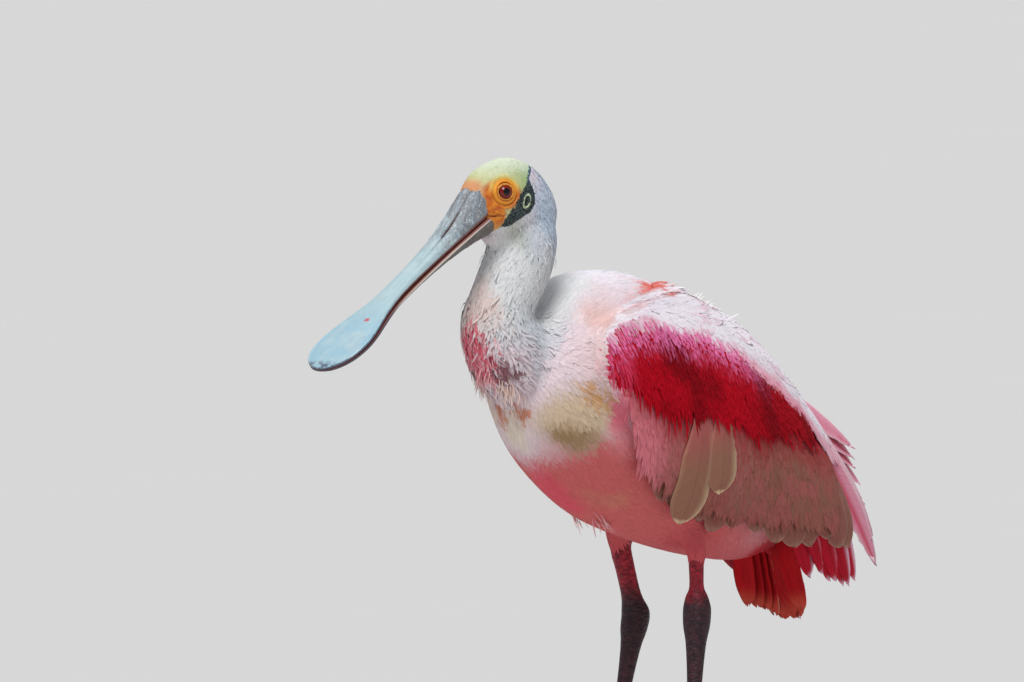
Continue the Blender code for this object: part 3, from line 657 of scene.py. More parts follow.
def shapeHead(piece):
    bm = bmesh.new()
    bm.from_mesh(piece.data)
    for inside in (isHead, isFace):
        near = [f for f in bm.faces if inside(f.calc_center_median() - shift)]
        edges = list({e for f in near for e in f.edges})
        bmesh.ops.subdivide_edges(bm, edges=edges, cuts=1, use_grid_fill=True, smooth=0.6)
    bm.to_mesh(piece.data)
    bm.free()
    mesh = piece.data
    mesh.shade_smooth()
    points, normals = pointsOf(mesh), normalsOf(mesh)
    p = points - np.array(shift)
    side = np.sign(p[:, 0])
    q = leftHalf(p)
    head = (q[:, 2] > 0.362) & (q[:, 1] < -0.088)
    eye, way = np.array(face["eye"]), np.array(face["eyeWay"])
    away = q - eye
    depth = away @ way
    ring = np.linalg.norm(away - depth[:, None] * way, axis=1)
    near = head & (depth > -0.004) & (q[:, 0] > 0.006)
    rise = headRise(q, head, near, ring)
    points += normals * rise[:, None]
    # inside the lids the skin drops behind the eyeball
    inside = near & (ring < face["lidRadius"])
    drop = np.clip(depth - 0.0015, 0, None)
    sign = np.stack([side, np.ones(len(p)), np.ones(len(p))], -1)
    points -= np.where(inside, drop, 0)[:, None] * way * sign
    mesh.vertices.foreach_set("co", points.astype(np.float32).ravel())
    mesh.update()


def earPlace(q):
    # how far a point is from the ear's middle, as a share of its ring, which leans back at the top
    lean, (wide, high) = face["earTilt"], face["earSize"]
    y, z = q[:, 1] - face["ear"][0], q[:, 2] - face["ear"][1]
    along, aside = z * math.cos(lean) + y * math.sin(lean), y * math.cos(lean) - z * math.sin(lean)
    return np.hypot(aside / wide, along / high)


def isFace(co):
    return isHead(co) and co.y < -0.118 and co.z > 0.380 and abs(co.x) > 0.006


def isHead(co):
    return co.z > 0.366 and co.y < -0.088 and (co.z > 0.385 or co.y < -0.128)


def eyePlace(side):
    # the middle of an eye, and the way it looks
    (x, y, z), (wayX, wayY, wayZ) = face["eye"], face["eyeWay"]
    return Vector((x * side, y, z)) + shift, Vector((wayX * side, wayY, wayZ))


lid = {"radius": 0.0057, "thick": 0.00100, "seat": 0.0052, "above": 0.88, "below": 0.92}


def makeLids():
    # a soft wrinkled rim round each eye
    bm = bmesh.new()
    for side in (1, -1):
        centre, way = eyePlace(side)
        across = Vector((0, 0, 1)).cross(way).normalized()
        up = way.cross(across)
        seat = centre + way * math.sqrt(face["eyeRadius"] ** 2 - lid["seat"] ** 2)
        start = ringAt(bm, seat + across * lid["radius"], across * lid["thick"], way * lid["thick"], 10)
        verts = list({vert for edge in start for vert in edge.verts})
        bmesh.ops.spin(
            bm, geom=verts + start, cent=seat, axis=way, dvec=(0, 0, 0),
            angle=math.tau, steps=56, use_merge=True,
        )
        ringVerts = {v for v in bm.verts if (v.co - seat).length < 0.02}
        for vert in ringVerts:
            away = vert.co - seat
            turn = math.atan2(away.dot(up), away.dot(across))
            size = 1 + 0.025 * math.sin(turn * 17) + 0.02 * math.sin(turn * 29 + 1)
            squeeze = lid["above"] if away.dot(up) > 0 else lid["below"]
            vert.co = seat + across * away.dot(across) + up * away.dot(up) * squeeze * (1 + 0.02 * (size - 1))
            vert.co += way * (away.dot(way) * size + 0.0003 * math.sin(turn))
    bmesh.ops.remove_doubles(bm, verts=bm.verts, dist=0.00002)
    bmesh.ops.recalc_face_normals(bm, faces=bm.faces)
    return fromBmesh("lids", bm)


def makeEye(side):
    bm = bmesh.new()
    bmesh.ops.create_uvsphere(bm, u_segments=48, v_segments=32, radius=face["eyeRadius"])
    centre, way = eyePlace(side)
    for vert in bm.verts:
        bulge = max(vert.co.z / face["eyeRadius"] - 0.72, 0) / 0.28
        vert.co *= 1 + 0.055 * bulge * bulge * (3 - 2 * bulge)
    turn = way.to_track_quat("Z", "Y").to_matrix().to_4x4()
    bmesh.ops.transform(bm, matrix=Matrix.Translation(centre) @ turn, verts=bm.verts)
    return fromBmesh(f"eye_{nameOf(side)}_fine", bm)


bill = {
    "root": Vector((0.0, -0.157, 0.393)),
    "length": 0.1732,
    "pitch": math.radians(33.3),
    "droop": 0.0045,
    "opening": 0.0012,
    "rows": (
        (-0.05, 0.0124, 0.0222, 0.0150),
        (0.00, 0.0122, 0.0212, 0.0146),
        (0.08, 0.0116, 0.0170, 0.0114),
        (0.16, 0.0108, 0.0130, 0.0088),
        (0.26, 0.0098, 0.0096, 0.0064),
        (0.36, 0.0091, 0.0079, 0.0050),
        (0.46, 0.0090, 0.0070, 0.0042),
        (0.55, 0.0102, 0.0062, 0.0038),
        (0.62, 0.0128, 0.0054, 0.0034),
        (0.69, 0.0168, 0.0048, 0.0032),
        (0.76, 0.0212, 0.0044, 0.0032),
        (0.82, 0.0238, 0.0040, 0.0030),
        (0.87, 0.0240, 0.0037, 0.0028),
        (0.92, 0.0220, 0.0034, 0.0026),
        (0.96, 0.0170, 0.0029, 0.0024),
        (0.988, 0.0104, 0.0022, 0.0018),
        (1.0, 0.0034, 0.0014, 0.0012),
    ),
    "rings": 190,
    "roof": 44,
    "floor": 12,
    "gap": 0.00015,
    "wall": 0.19,
    "floorBow": 0.06,
    "insideMark": 3.0,  # the value of aside on the inner faces
}


def makeJaw(name, direction):
    along = Vector((0, -math.cos(bill["pitch"]), -math.sin(bill["pitch"])))
    up = Vector((0, -math.sin(bill["pitch"]), math.cos(bill["pitch"])))
    places = np.linspace(0, 1, bill["rings"]) ** 0.96 * (len(bill["rows"]) - 1)
    rows = rowsAt(bill["rows"], places)
    turns = np.linspace(0, np.pi, bill["roof"])
    s = np.cos(turns)
    dome = 0.25 + 0.75 * np.clip(1 - s**2, 0, 1) ** 0.4
    bm = bmesh.new()
    loops = []
    values = {"share": [], "aside": [], "brim": [], "slit": [], "track": []}
    flat = [0.0] * bill["floor"]
    for share, half, height, depth in rows:
        rise = height if direction > 0 else depth
        opening = bill["opening"] * math.sin(math.pi * min(max(share, 0), 1)) ** 2
        lift = bill["gap"] + (opening if direction < 0 else 0)
        middle = bill["root"] + along * share * bill["length"] - up * bill["droop"] * max(share, 0) ** 2
        middle = middle + up * direction * lift + shift
        relief = billRelief(share, s, half, direction)
        ring = [
            middle + Vector((half * c, 0, 0)) + up * direction * (rise * d + e)
            for c, d, e in zip(s, dome, relief)
        ]
        floors = np.linspace(-0.97, 0.97, bill["floor"])
        bow = up * direction * bill["floorBow"] * rise
        ring += [middle + Vector((half * c, 0, 0)) + bow * c * c for c in floors]
        loops.append(ringThrough(bm, ring))
        roof = np.array([tuple(co) for co in ring[: bill["roof"]]])
        run = np.concatenate([[0], np.cumsum(np.linalg.norm(np.diff(roof, axis=0), axis=1))])
        wall = bill["wall"] * rise
        groove, slit = billMarks(share, s, half)
        values["brim"] += list((np.minimum(run, run[-1] - run) + wall) * 1000) + flat
        values["share"] += [share] * len(ring)
        values["aside"] += list(s) + [bill["insideMark"]] * bill["floor"]
        values["slit"] += list(slit) + flat
        values["track"] += list(groove) + flat
    closeTube(bm, loops, len(ring))
    piece = fromBmesh(name, bm)
    addValues(piece.data, values)
    return piece


def billMarks(share, s, half):
    # the two nostril slits, and the grooves that run on from them to the tip
    track = np.interp(
        share, [0.05, 0.15, 0.35, 0.55, 0.7, 0.85, 1.0],
        [0.38, 0.42, 0.55, 0.66, 0.80, 0.86, 0.86],
    )
    groove = np.exp(-(((np.abs(s) - track) * half / 0.0007) ** 2))
    slit = np.exp(-(((np.abs(s) * half - 0.0046) / 0.0011) ** 2))
    return groove, slit * float(smoothstep(share, 0.075, 0.11) * smoothstep(share, 0.25, 0.20))


def billRelief(share, s, half, direction):
    # how far the horn stands above its smooth dome across one ring
    grid = np.stack([np.full(len(s), share * 176.0), s * half * 1000, np.zeros(len(s))], -1)
    rough = float(smoothstep(share, 0.60, 0.05))
    crack = np.abs(np.sin(grid[:, 0] / 2.6 + 1.1 * waves(grid, 9.0, 11) + 0.5 * np.abs(grid[:, 1]) / 4))
    relief = rough * (0.00026 * (crack**0.5 - 0.8) + 0.00022 * waves(grid * np.array([0.4, 1.6, 1]), 3.2, 12))
    if direction > 0:
        ridge = np.exp(-((s * half / 0.0022) ** 2)) * 0.0006 * float(smoothstep(share, 0.75, 0.4))
        groove, slit = billMarks(share, s, half)
        deep = 0.00055 + 0.0004 * float(smoothstep(share, 0.4, 0.1))
        relief = relief + ridge - groove * deep - slit * 0.0024
    else:
        relief = relief - np.exp(-((s * half / 0.0012) ** 2)) * 0.0004 * float(smoothstep(share, 0.6, 0.3))
    rim = smoothstep(np.abs(s), 0.86, 0.96) * smoothstep(np.abs(s), 1.01, 0.97)
    relief = relief + rim * 0.0005 * float(smoothstep(share, 0.55, 0.7))
    return relief * smoothstep(np.abs(s), 1.0, 0.93)


# along a claw: place as a share of its length, thickness as a share of the toe's, and drop
clawRows = (
    (-0.5, 0.45, 0.0002),
    (-0.12, 0.84, 0.0),
    (0.3, 0.78, -0.0001),
    (0.6, 0.55, 0.0001),
    (0.85, 0.26, 0.0006),
    (1.0, 0.05, 0.0011),
)


def makeClaws(side):
    bm = bmesh.new()
    for toe, (_, _, length) in form["toes"].items():
        x, y, z, radius = toeRows(side, toe)[-1]
        way = toeWay(side, toe)
        rows = []
        for t, share, drop in clawRows:
            reach = 0.0003 + length * t
            rows.append((x + way.x * reach, y + way.y * reach, z + 0.0006 - drop, radius * share))
        loft(bm, tubeRings(rows, 14), 14)
    piece = fromBmesh(f"claws_{nameOf(side)}", bm)
    keepAbove(piece.data, skin["floor"])
    return piece


# where feathers lie, how they are coloured, and how they are made

neckRun = rowsAt(form["neck"], np.linspace(0, len(form["neck"]) - 1, 140))
neckWay = unit(np.gradient(neckRun[:, :2], axis=0))
# the top edge of the carmine bar, as (y, z)
bandTop = (
    (-0.104, 0.296), (-0.094, 0.307), (-0.088, 0.3145), (-0.078, 0.3195), (-0.050, 0.321),
    (-0.008, 0.313), (0.028, 0.298), (0.060, 0.277), (0.094, 0.254), (0.120, 0.232),
)


def nearNeck(p):
    # how far a point is from the neck's middle line, in radii, and the index of the nearest sample
    away = np.hypot(p[:, None, 1] - neckRun[None, :, 0], p[:, None, 2] - neckRun[None, :, 1])
    nearest = away.argmin(1)
    reach = np.hypot(away[np.arange(len(p)), nearest], p[:, 0]) / neckRun[nearest, 2]
    return reach, nearest


def bodyPlace(p):
    place, level, _, _, _ = wrapAt(form["torso"], p[:, 1], p[:, 2])
    return place, level


def bandEdge(y):
    line = np.array(bandTop)
    return np.interp(y, line[:, 0], line[:, 1])


def onArm(p):
    # 1 on the raised pad of the arm
    rows = np.array(arm["rows"])
    middle = np.interp(p[:, 1], rows[:, 0], rows[:, 1])
    half = np.interp(p[:, 1], rows[:, 0], rows[:, 2])
    inside = smoothstep(np.abs(p[:, 2] - middle) / half, 1.04, 0.96)
    inside *= smoothstep(p[:, 1], -0.101, -0.095) * smoothstep(p[:, 1], 0.112, 0.104)
    return inside * smoothstep(np.abs(p[:, 0]), 0.010, 0.018)


def inPlane(y, z):
    # unit vectors that lie in the plane of the side view
    return unit(np.stack([np.zeros(len(y)), y, z], -1))


def lieAt(p, normals):
    # the way the plumage lies, along the surface
    place, level = bodyPlace(p)
    step = 0.05
    change = rowsAt(form["torso"], place + step) - rowsAt(form["torso"], place - step)
    share = np.clip((1 + level) / 2, 0, 1)[:, None]
    flat = change[:, 2:4] * (1 - share) + change[:, 0:2] * share
    way = inPlane(flat[:, 0], flat[:, 1])
    reach, nearest = nearNeck(p)
    down = inPlane(neckWay[nearest, 0], neckWay[nearest, 1])
    neckShare = smoothstep(reach, 1.45, 1.02) * smoothstep(nearest, 128, 96)
    neckShare = np.maximum(neckShare, smoothstep(p[:, 2], 0.352, 0.362))[:, None]
    way = unit(way * (1 - neckShare) + down * neckShare)
    above = smoothstep(p[:, 2] - bandEdge(p[:, 1]), -0.010, 0.006)[:, None]
    rear = smoothstep(p[:, 1], -0.02, 0.11)
    scapular = inPlane(np.full(len(p), 0.86), -0.12 - 0.62 * rear)
    covert = inPlane(0.20 + 0.42 * rear, -0.97 + 0.15 * rear)
    armWay = unit(scapular * above + covert * (1 - above))
    armShare = onArm(p)[:, None]
    way = unit(way * (1 - armShare) + armWay * armShare)
    besideLeg = np.abs(np.abs(p[:, 0]) - form["legSpread"])
    legShare = (smoothstep(p[:, 2], 0.180, 0.168) * smoothstep(besideLeg, 0.024, 0.016))[:, None]
    way = unit(way * (1 - legShare) + np.array([0, 0.1, -1.0]) * legShare)
    return unit(way - normals * (way * normals).sum(1, keepdims=True))


plumage = {
    "base": colour(236, 216, 222),
    # named patches: centre, reach, softness, colour, strength, streakiness
    "patches": (
        ("mantleTop", (0.0, -0.055, 0.352), (0.056, 0.085, 0.034), 0.9, colour(242, 238, 246), 0.95, 0.1),
        ("mantleSide", (0.048, -0.092, 0.316), (0.034, 0.034, 0.034), 0.9, colour(232, 190, 182), 0.85, 0.2),
        ("mantleBlush", (0.038, -0.060, 0.329), (0.026, 0.014, 0.014), 0.9, colour(232, 156, 156), 0.5, 0.5),
        (
            "saddlePatch", (0.026, -0.033, 0.3415), (0.026, 0.027, 0.0075), 0.6,
            colour(236, 108, 92), 0.95, 0.4,
        ),
        ("backRose", (0.0, 0.055, 0.310), (0.040, 0.050, 0.040), 0.9, colour(244, 214, 224), 0.6, 0.3),
        ("rump", (0.0, 0.128, 0.232), (0.040, 0.050, 0.066), 0.8, colour(238, 150, 172), 0.8, 0.2),
        ("belly", (0.0, -0.005, 0.172), (0.090, 0.130, 0.080), 0.55, colour(212, 102, 104), 1.0, 0.15),
        ("flank", (0.030, -0.070, 0.210), (0.075, 0.085, 0.056), 0.5, colour(214, 106, 106), 1.0, 0.3),
        ("flankRose", (0.052, -0.072, 0.246), (0.022, 0.024, 0.026), 0.9, colour(230, 134, 140), 0.7, 0.5),
        ("bellyFront", (0.0, -0.092, 0.214), (0.020, 0.046, 0.034), 0.7, colour(226, 86, 104), 0.85, 0.4),
        ("bellyTan", (0.026, -0.068, 0.207), (0.020, 0.030, 0.013), 0.9, colour(204, 132, 108), 0.6, 0.5),
        ("vent", (0.0, 0.085, 0.160), (0.056, 0.045, 0.036), 0.7, colour(200, 70, 78), 0.9, 0.2),
        ("breast", (0.036, -0.104, 0.264), (0.042, 0.040, 0.028), 0.7, colour(222, 196, 164), 0.95, 0.3),
        ("breastOlive", (0.034, -0.106, 0.251), (0.027, 0.032, 0.018), 0.9, colour(158, 128, 90), 0.95, 0.4),
        ("breastGold", (0.046, -0.098, 0.283), (0.022, 0.022, 0.017), 0.9, colour(204, 150, 92), 0.9, 0.8),
        ("breastCream", (0.002, -0.126, 0.256), (0.014, 0.018, 0.026), 0.8, colour(238, 222, 204), 0.9, 0.3),
        ("breastRust", (0.011, -0.130, 0.268), (0.011, 0.012, 0.018), 0.9, colour(206, 120, 76), 0.85, 0.9),
        # neckWhite is a slightly greyed white, nape and neckSide a blue-grey and throat a grey-green: painted
        # shade on the white neck and under the jaw
        ("neckWhite", (0.0, -0.124, 0.350), (0.056, 0.056, 0.062), 0.5, colour(222, 226, 226), 0.9, 0.2),
        ("nape", (0.012, -0.110, 0.398), (0.034, 0.032, 0.044), 0.7, colour(190, 208, 226), 0.9, 0.4),
        ("throat", (0.012, -0.134, 0.382), (0.024, 0.022, 0.014), 1.0, colour(178, 180, 164), 0.6, 0.4),
        ("neckTan", (0.0, -0.152, 0.340), (0.026, 0.018, 0.030), 0.9, colour(226, 196, 186), 0.7, 0.6),
        ("neckSide", (0.024, -0.132, 0.316), (0.015, 0.026, 0.040), 0.8, colour(196, 204, 212), 0.75, 0.5),
        ("neckPink", (0.0, -0.160, 0.308), (0.018, 0.017, 0.032), 0.7, colour(224, 92, 112), 0.95, 1.0),
        ("neckMaroon", (0.013, -0.152, 0.294), (0.011, 0.013, 0.022), 0.8, colour(112, 34, 48), 0.85, 1.0),
        ("wingRose", (0.058, -0.080, 0.268), (0.030, 0.021, 0.030), 0.7, colour(230, 112, 132), 0.95, 0.3),
        ("thigh", (0.033, 0.004, 0.170), (0.026, 0.026, 0.022), 0.8, colour(206, 84, 92), 0.7, 0.3),
        ("tailCoverts", (0.0, 0.100, 0.164), (0.046, 0.036, 0.034), 0.6, colour(186, 12, 34), 0.95, 0.4),
    ),
    "band": colour(200, 3, 30),
    "bandDark": colour(122, 0, 14),
    "bandMottle": colour(246, 128, 186),
    "bandFront": colour(228, 66, 104),
    "scapular": colour(248, 240, 248),
    "scapularRose": colour(232, 132, 158),
}


def markingsAt(p, draw, speckle=1.0):
    # the bird's colours at places on its surface, alike for the skin and for the feathers rooted there
    q = leftHalf(p)
    sway = np.stack([waves(p, 0.030, 21), waves(p, 0.030, 22), waves(p, 0.030, 23)], -1) * 0.0035
    tint = np.tile(np.array(plumage["base"]), (len(p), 1))
    for _, centre, reach, soft, shade, strength, streak in plumage["patches"]:
        away = np.linalg.norm((q + sway - np.array(centre)) / np.array(reach), axis=1)
        share = smoothstep(away, 1.0, 1.0 - soft)
        loose = smoothstep(share + (draw - 0.5) * streak * speckle, 0.0, 1.0) if streak else share
        streaky = loose * streak * np.minimum(share * 4, 1)
        share = np.where(share > 0, share * (1 - streak) + streaky, 0) * strength
        tint = lay(tint, shade, share)
    return bandTint(p, draw, tint)


def laySaddle(tint, p, draw):
    # the salmon patch where the back meets the shoulder feathers
    saddle = next(patch for patch in plumage["patches"] if patch[0] == "saddlePatch")
    _, centre, reach, soft, shade, strength, streak = saddle
    q = leftHalf(p)
    q[:, 0] = np.minimum(q[:, 0], 0.040)
    away = np.linalg.norm((q - np.array(centre)) / np.array(reach), axis=1)
    return lay(tint, shade, smoothstep(away + (draw - 0.5) * streak, 1.0, 1.0 - soft) * strength)


def redOfBand(p, draw, below):
    # carmine, darker in places and to the rear, rosy at the front, mottled along the top edge
    red = lay(plumage["band"], plumage["bandDark"], draw * 0.3)
    dark = smoothstep(waves(p * np.array([1, 1, 0.5]), 0.024, 32) + (draw - 0.5), 0.1, 1.3)
    dark = np.maximum(dark, smoothstep(p[:, 1], 0.010, 0.060) * 0.5)
    red = lay(red, plumage["bandDark"], dark * 0.8)
    front = smoothstep(p[:, 1], -0.070, -0.086) * smoothstep(draw, 0.15, 0.6)
    red = lay(red, plumage["bandFront"], front * 0.7)
    mottled = smoothstep(waves(p, 0.004, 33) * 0.6 + draw * 1.2, 0.6, 1.0) * smoothstep(below, 0.016, 0.004)
    return lay(red, plumage["bandMottle"], mottled * 0.8 * smoothstep(p[:, 1], 0.060, 0.010))


def bandTint(p, draw, tint, arms=None):
    # the carmine bar of the shoulder, with the pale shoulder feathers above it
    arms = onArm(p) if arms is None else arms
    below = bandEdge(p[:, 1]) - p[:, 2] + 0.0012 * waves(p, 0.012, 31) + 0.003 * (draw - 0.5)
    lower = smoothstep(p[:, 1], -0.050, -0.062) * smoothstep(lineAt("red", p[:, 1]) - p[:, 2], -0.004, 0.002)
    red = redOfBand(p, draw, below)
    rear = smoothstep(p[:, 1], 0.0, 0.07)
    rose = smoothstep(waves(p, 0.020, 34) + (draw - 0.5) * 1.2, 0.8, 2.0) * 0.4
    rose = np.maximum(rose, smoothstep(-below, 0.004 + 0.010 * rear, 0.0) * (0.45 + 0.4 * rear))
    pale = laySaddle(lay(plumage["scapular"], plumage["scapularRose"], rose), p, draw)
    wing = lay(pale, red, smoothstep(below, -0.001, 0.002))
    return lay(tint, wing, arms * (1 - lower))


def surfaceSpots(mesh, count, seed):
    # random places on a mesh, evenly by area, with smooth normals
    mesh.calc_loop_triangles()
    tris = np.empty(len(mesh.loop_triangles) * 3, np.int32)
    mesh.loop_triangles.foreach_get("vertices", tris)
    tris = tris.reshape(-1, 3)
    points, normals = pointsOf(mesh), normalsOf(mesh)
    a, b, c = (points[tris[:, k]] for k in range(3))
    areas = np.linalg.norm(np.cross(b - a, c - a), axis=1) / 2
    draw = np.random.default_rng(seed)
    chosen = np.searchsorted(np.cumsum(areas), draw.random(count) * areas.sum())
    chosen = np.minimum(chosen, len(tris) - 1)
    u, v = draw.random(count), draw.random(count)
    flip = u + v > 1
    u, v = np.where(flip, 1 - u, u)[:, None], np.where(flip, 1 - v, v)[:, None]
    t = tris[chosen]
    spot = points[t[:, 0]] * (1 - u - v) + points[t[:, 1]] * u + points[t[:, 2]] * v
    normal = unit(normals[t[:, 0]] * (1 - u - v) + normals[t[:, 1]] * u + normals[t[:, 2]] * v)
    return spot, normal, draw.random(count), areas.sum()


# the dark band from the back of the crown, round the ear to the jaw: (y, z, half width)
darkBand = (
    (-0.1105, 0.4290, 0.0009),
    (-0.1170, 0.4255, 0.0010),
    (-0.1230, 0.4210, 0.0012),
    (-0.1262, 0.4160, 0.0018),
    (-0.1275, 0.4100, 0.0048),
    (-0.1293, 0.4035, 0.0074),
    (-0.1345, 0.3968, 0.0064),
    (-0.1405, 0.3912, 0.0044),
    (-0.1460, 0.3870, 0.0028),
)
darkRun = rowsAt(darkBand, np.linspace(0, len(darkBand) - 1, 60))


# one blade: three rings of three corners and a point, as places along it and shares of its width
blade = {"at": (0.0, 0.40, 0.80, 1.0), "wide": (0.60, 1.0, 0.84)}


def bladesMesh(name, line, normals, tint, tipTint, width, uv, draw, ridge=0.06):
    # every blade of one piece as a joined mesh, from its middle line (count, 4, 3) and the way it faces
    count = len(line)
    along = unit(np.gradient(line, axis=1))
    side = unit(np.cross(normals, along))
    rings = []
    for k, share in enumerate(blade["wide"]):
        half = (width * share / 2)[:, None]
        middle, edge = line[:, k], side[:, k] * half
        rings += [middle - edge, middle + normals[:, k] * half * ridge, middle + edge]
    points = np.stack(rings + [line[:, 3]], 1)
    quads = [(2, 1, 0, 0)]
    for ring in (0, 3):
        for k in range(3):
            a, b = ring + k, ring + (k + 1) % 3
            quads.append((a, b, b + 3, a + 3))
    quads += [(6 + k, 6 + (k + 1) % 3, 9, 9) for k in range(3)]
    each = points.shape[1]
    allQuads = (np.array(quads)[None] + (np.arange(count) * each)[:, None, None]).reshape(-1, 4)
    at = np.append(np.repeat(blade["at"][:3], 3), 1.0)
    across = np.array([-0.5, 0, 0.5] * 3 + [0.0])
    mapped = uv[:, None, :] + np.stack([across, at - 0.5], -1)[None] * 0.003
    mixed = np.broadcast_to(at[None, :], (count, each))
    tints = tint[:, None, :] * (1 - mixed[..., None]) + tipTint[:, None, :] * mixed[..., None]
    values = {"tint": tints.reshape(-1, 3), "chance": np.repeat(draw, each)}
    maps = {"OFBake": mapped.reshape(-1, 2)}
    return joinedMesh(name, points.reshape(-1, 3), allQuads, maps, values, smooth=False)


def hug(tree, root, normal, way, spec):
    # middle lines that lie on the skin, each rising a little from its root to its tip
    side = np.cross(normal, way)
    line, facing = [root + normal * spec["sink"]], [normal]
    for t in blade["at"][1:]:
        reach, aside = spec["length"] * t, spec["bend"] * spec["length"] * t * t
        forward = way * reach[:, None] + side * aside[:, None]
        guess = root + forward + normal * 0.0004
        height = spec["rise"] * (t * (1 + spec["curl"]) - spec["curl"] * t * t * 1.2)
        for k in range(len(guess)):
            guess[k], forward[k], _, _ = tree.find_nearest(guess[k])
        blended = unit(forward + 0.6 * facing[-1])
        line.append(guess + blended * height[:, None])
        facing.append(blended)
    return np.stack(line, 1), np.stack(facing, 1)


coat = {
    "count": 99000,
    "seed": 5,
    "most": 12000,  # blades in one piece
    "length": 0.0130,
    "armLonger": 0.004,
    "goldLonger": 0.004,
    "neckLength": 0.0088,
    "shagLonger": 0.0070,
    "napeLength": 0.0050,
    "width": 0.0022,
    "neckWidth": 0.0015,
    "shagWider": 0.0003,
    "sink": -0.0005,
    "goldAt": (0.044, 0.102, 0.280),
    "goldReach": 0.024,
    "ridge": {
        "neck_plumes": 0.13,
        "shoulder_plumes": 0.05,
        "mantle_plumes": 0.04,
        "breast_plumes": 0.08,
        "belly_plumes": 0.05,
    },
}


def sideOfBand(p):
    # negative in front of the dark band's line, positive behind it, with the distance from it
    way = unit(np.gradient(darkRun[:, :2], axis=0))
    offset = p[:, None, 1:3] - darkRun[None, :, :2]
    away = np.linalg.norm(offset, axis=2)
    nearest = away.argmin(1)
    rows = np.arange(len(p))
    d, w = offset[rows, nearest], way[nearest]
    sign = np.sign(w[:, 0] * d[:, 1] - w[:, 1] * d[:, 0])
    return sign * away[rows, nearest], darkRun[nearest, 2]


def bareHead(p):
    # true where the head has no feathers: in front of the dark band's rear edge
    away, half = sideOfBand(p)
    y, z = p[:, 1], p[:, 2]
    high = (z > 0.372) & (y < -0.098) & (z > 0.3790 - 0.25 * (y + 0.150))
    return high & (away < half - 0.0010 + 0.0006 * waves(p, 0.006, 41))


def underWing(p):
    # where the folded feathers hide the body
    y, z = p[:, 1], p[:, 2]
    hidden = (y > -0.024) & (np.abs(p[:, 0]) > 0.030) & (z < 0.235) & (z > 0.200 - 0.22 * y)
    return hidden & (onArm(p) < 0.3)


wisps = {
    # where the roots gather, how far they scatter, the way they point, length, count, colour at root and tip
    "back": (
        (0.006, 0.044, 0.320), 0.009, (0.0, 0.86, 0.34), 0.012, 46, colour(246, 236, 244),
        colour(252, 250, 252),
    ),
    "belly": (
        (0.012, -0.058, 0.189), 0.003, (0.0, 0.60, -0.7), 0.013, 16, colour(222, 124, 130),
        colour(244, 200, 202),
    ),
    "neckLow": (
        (0.006, -0.158, 0.292), 0.006, (0.0, 0.12, -1.0), 0.013, 60, colour(214, 90, 110),
        colour(240, 190, 192),
    ),
    "neckSide": (
        (0.016, -0.150, 0.278), 0.006, (0.1, 0.16, -1.0), 0.013, 60, colour(206, 150, 130),
        colour(236, 218, 210),
    ),
    "neckMid": (
        (0.010, -0.160, 0.316), 0.007, (0.1, 0.05, -1.0), 0.012, 60, colour(222, 110, 128),
        colour(240, 200, 202),
    ),
}


def looseTufts(tree):
    # wisps that stand away from the coat, alike on both sides
    rng = np.random.default_rng(17)
    lines, facings, roots, tints, tips = [], [], [], [], []
    for centre, scatter, aim, length, count, base, tip in wisps.values():
        for side in (1, -1):
            mirror = np.array([side, 1.0, 1.0])
            root, normal = [], []
            for spot in np.array(centre) * mirror + rng.normal(0, 1, (count, 3)) * scatter + np.array(shift):
                found, facing, _, _ = tree.find_nearest(Vector(spot))
                root.append(found)
                normal.append(facing)
            root, normal = np.array(root), np.array(normal)
            way = unit(np.array(aim) * mirror + rng.normal(0, 0.12, (count, 3)) + normal * 0.06)
            across = unit(np.cross(way, normal) + rng.normal(0, 0.15, (count, 3)))
            facing = unit(np.cross(across, way))
            reach = length * rng.uniform(0.55, 1.25, count)[:, None]
            curl = rng.normal(0, 0.10, count)[:, None]
            places = [root + way * reach * t + across * reach * curl * t * t for t in blade["at"]]
            places[0] = places[0] - normal * 0.001
            lines.append(np.stack(places, 1))
            facings.append(np.repeat(facing[:, None], 4, 1))
            roots.append(root)
            fade = rng.uniform(0.9, 1.06, count)[:, None]
            tints.append(np.array(base) * fade)
            tips.append(np.array(tip) * fade)
    lines, facings, roots = np.concatenate(lines), np.concatenate(facings), np.concatenate(roots)
    width = 0.0009 * rng.uniform(0.7, 1.2, len(lines))
    uv = bodyMap(roots - np.array(shift))
    draw = rng.random(len(lines))
    tints, tips = np.concatenate(tints), np.concatenate(tips)
    return bladesMesh("loose_plumes", lines, facings, tints, tips, width, uv, draw, 0.10)


def roundMap(angle):
    # a turn round the body or the neck as a place on the map, clear of its edges
    return 0.02 + 0.96 * (angle + np.pi) / (2 * np.pi)


def bodyMap(p):
    place, level = bodyPlace(p)
    angle = np.arctan2(p[:, 0], level * 0.06)
    return np.stack([roundMap(angle), np.clip(0.06 + place / 8.0, 0.01, 0.99)], -1)


def wearsCoat(p, draw):
    # true where small body feathers have their roots
    arms, y, z = onArm(p), p[:, 1], p[:, 2]
    nearLeg = (np.abs(np.abs(p[:, 0]) - form["legSpread"]) < 0.013) & (np.abs(y - 0.006) < 0.013)
    lowest = np.where(nearLeg, np.where(p[:, 0] > 0, 0.165, 0.175), 0.147)
    keep = ~bareHead(p) & (z > lowest) & ~underWing(p)
    bar = arms * (bandEdge(y) > z)
    keep &= (bar < 0.5) | (y < -0.0915) | (z < lineAt("red", y) + 0.007) & (y < -0.056)
    covered = (arms > 0.5) & (z > bandEdge(y)) & (z < lineAt("fold", y) - 0.012) & (y > -0.060)
    return keep & (~covered | (draw < 0.15))


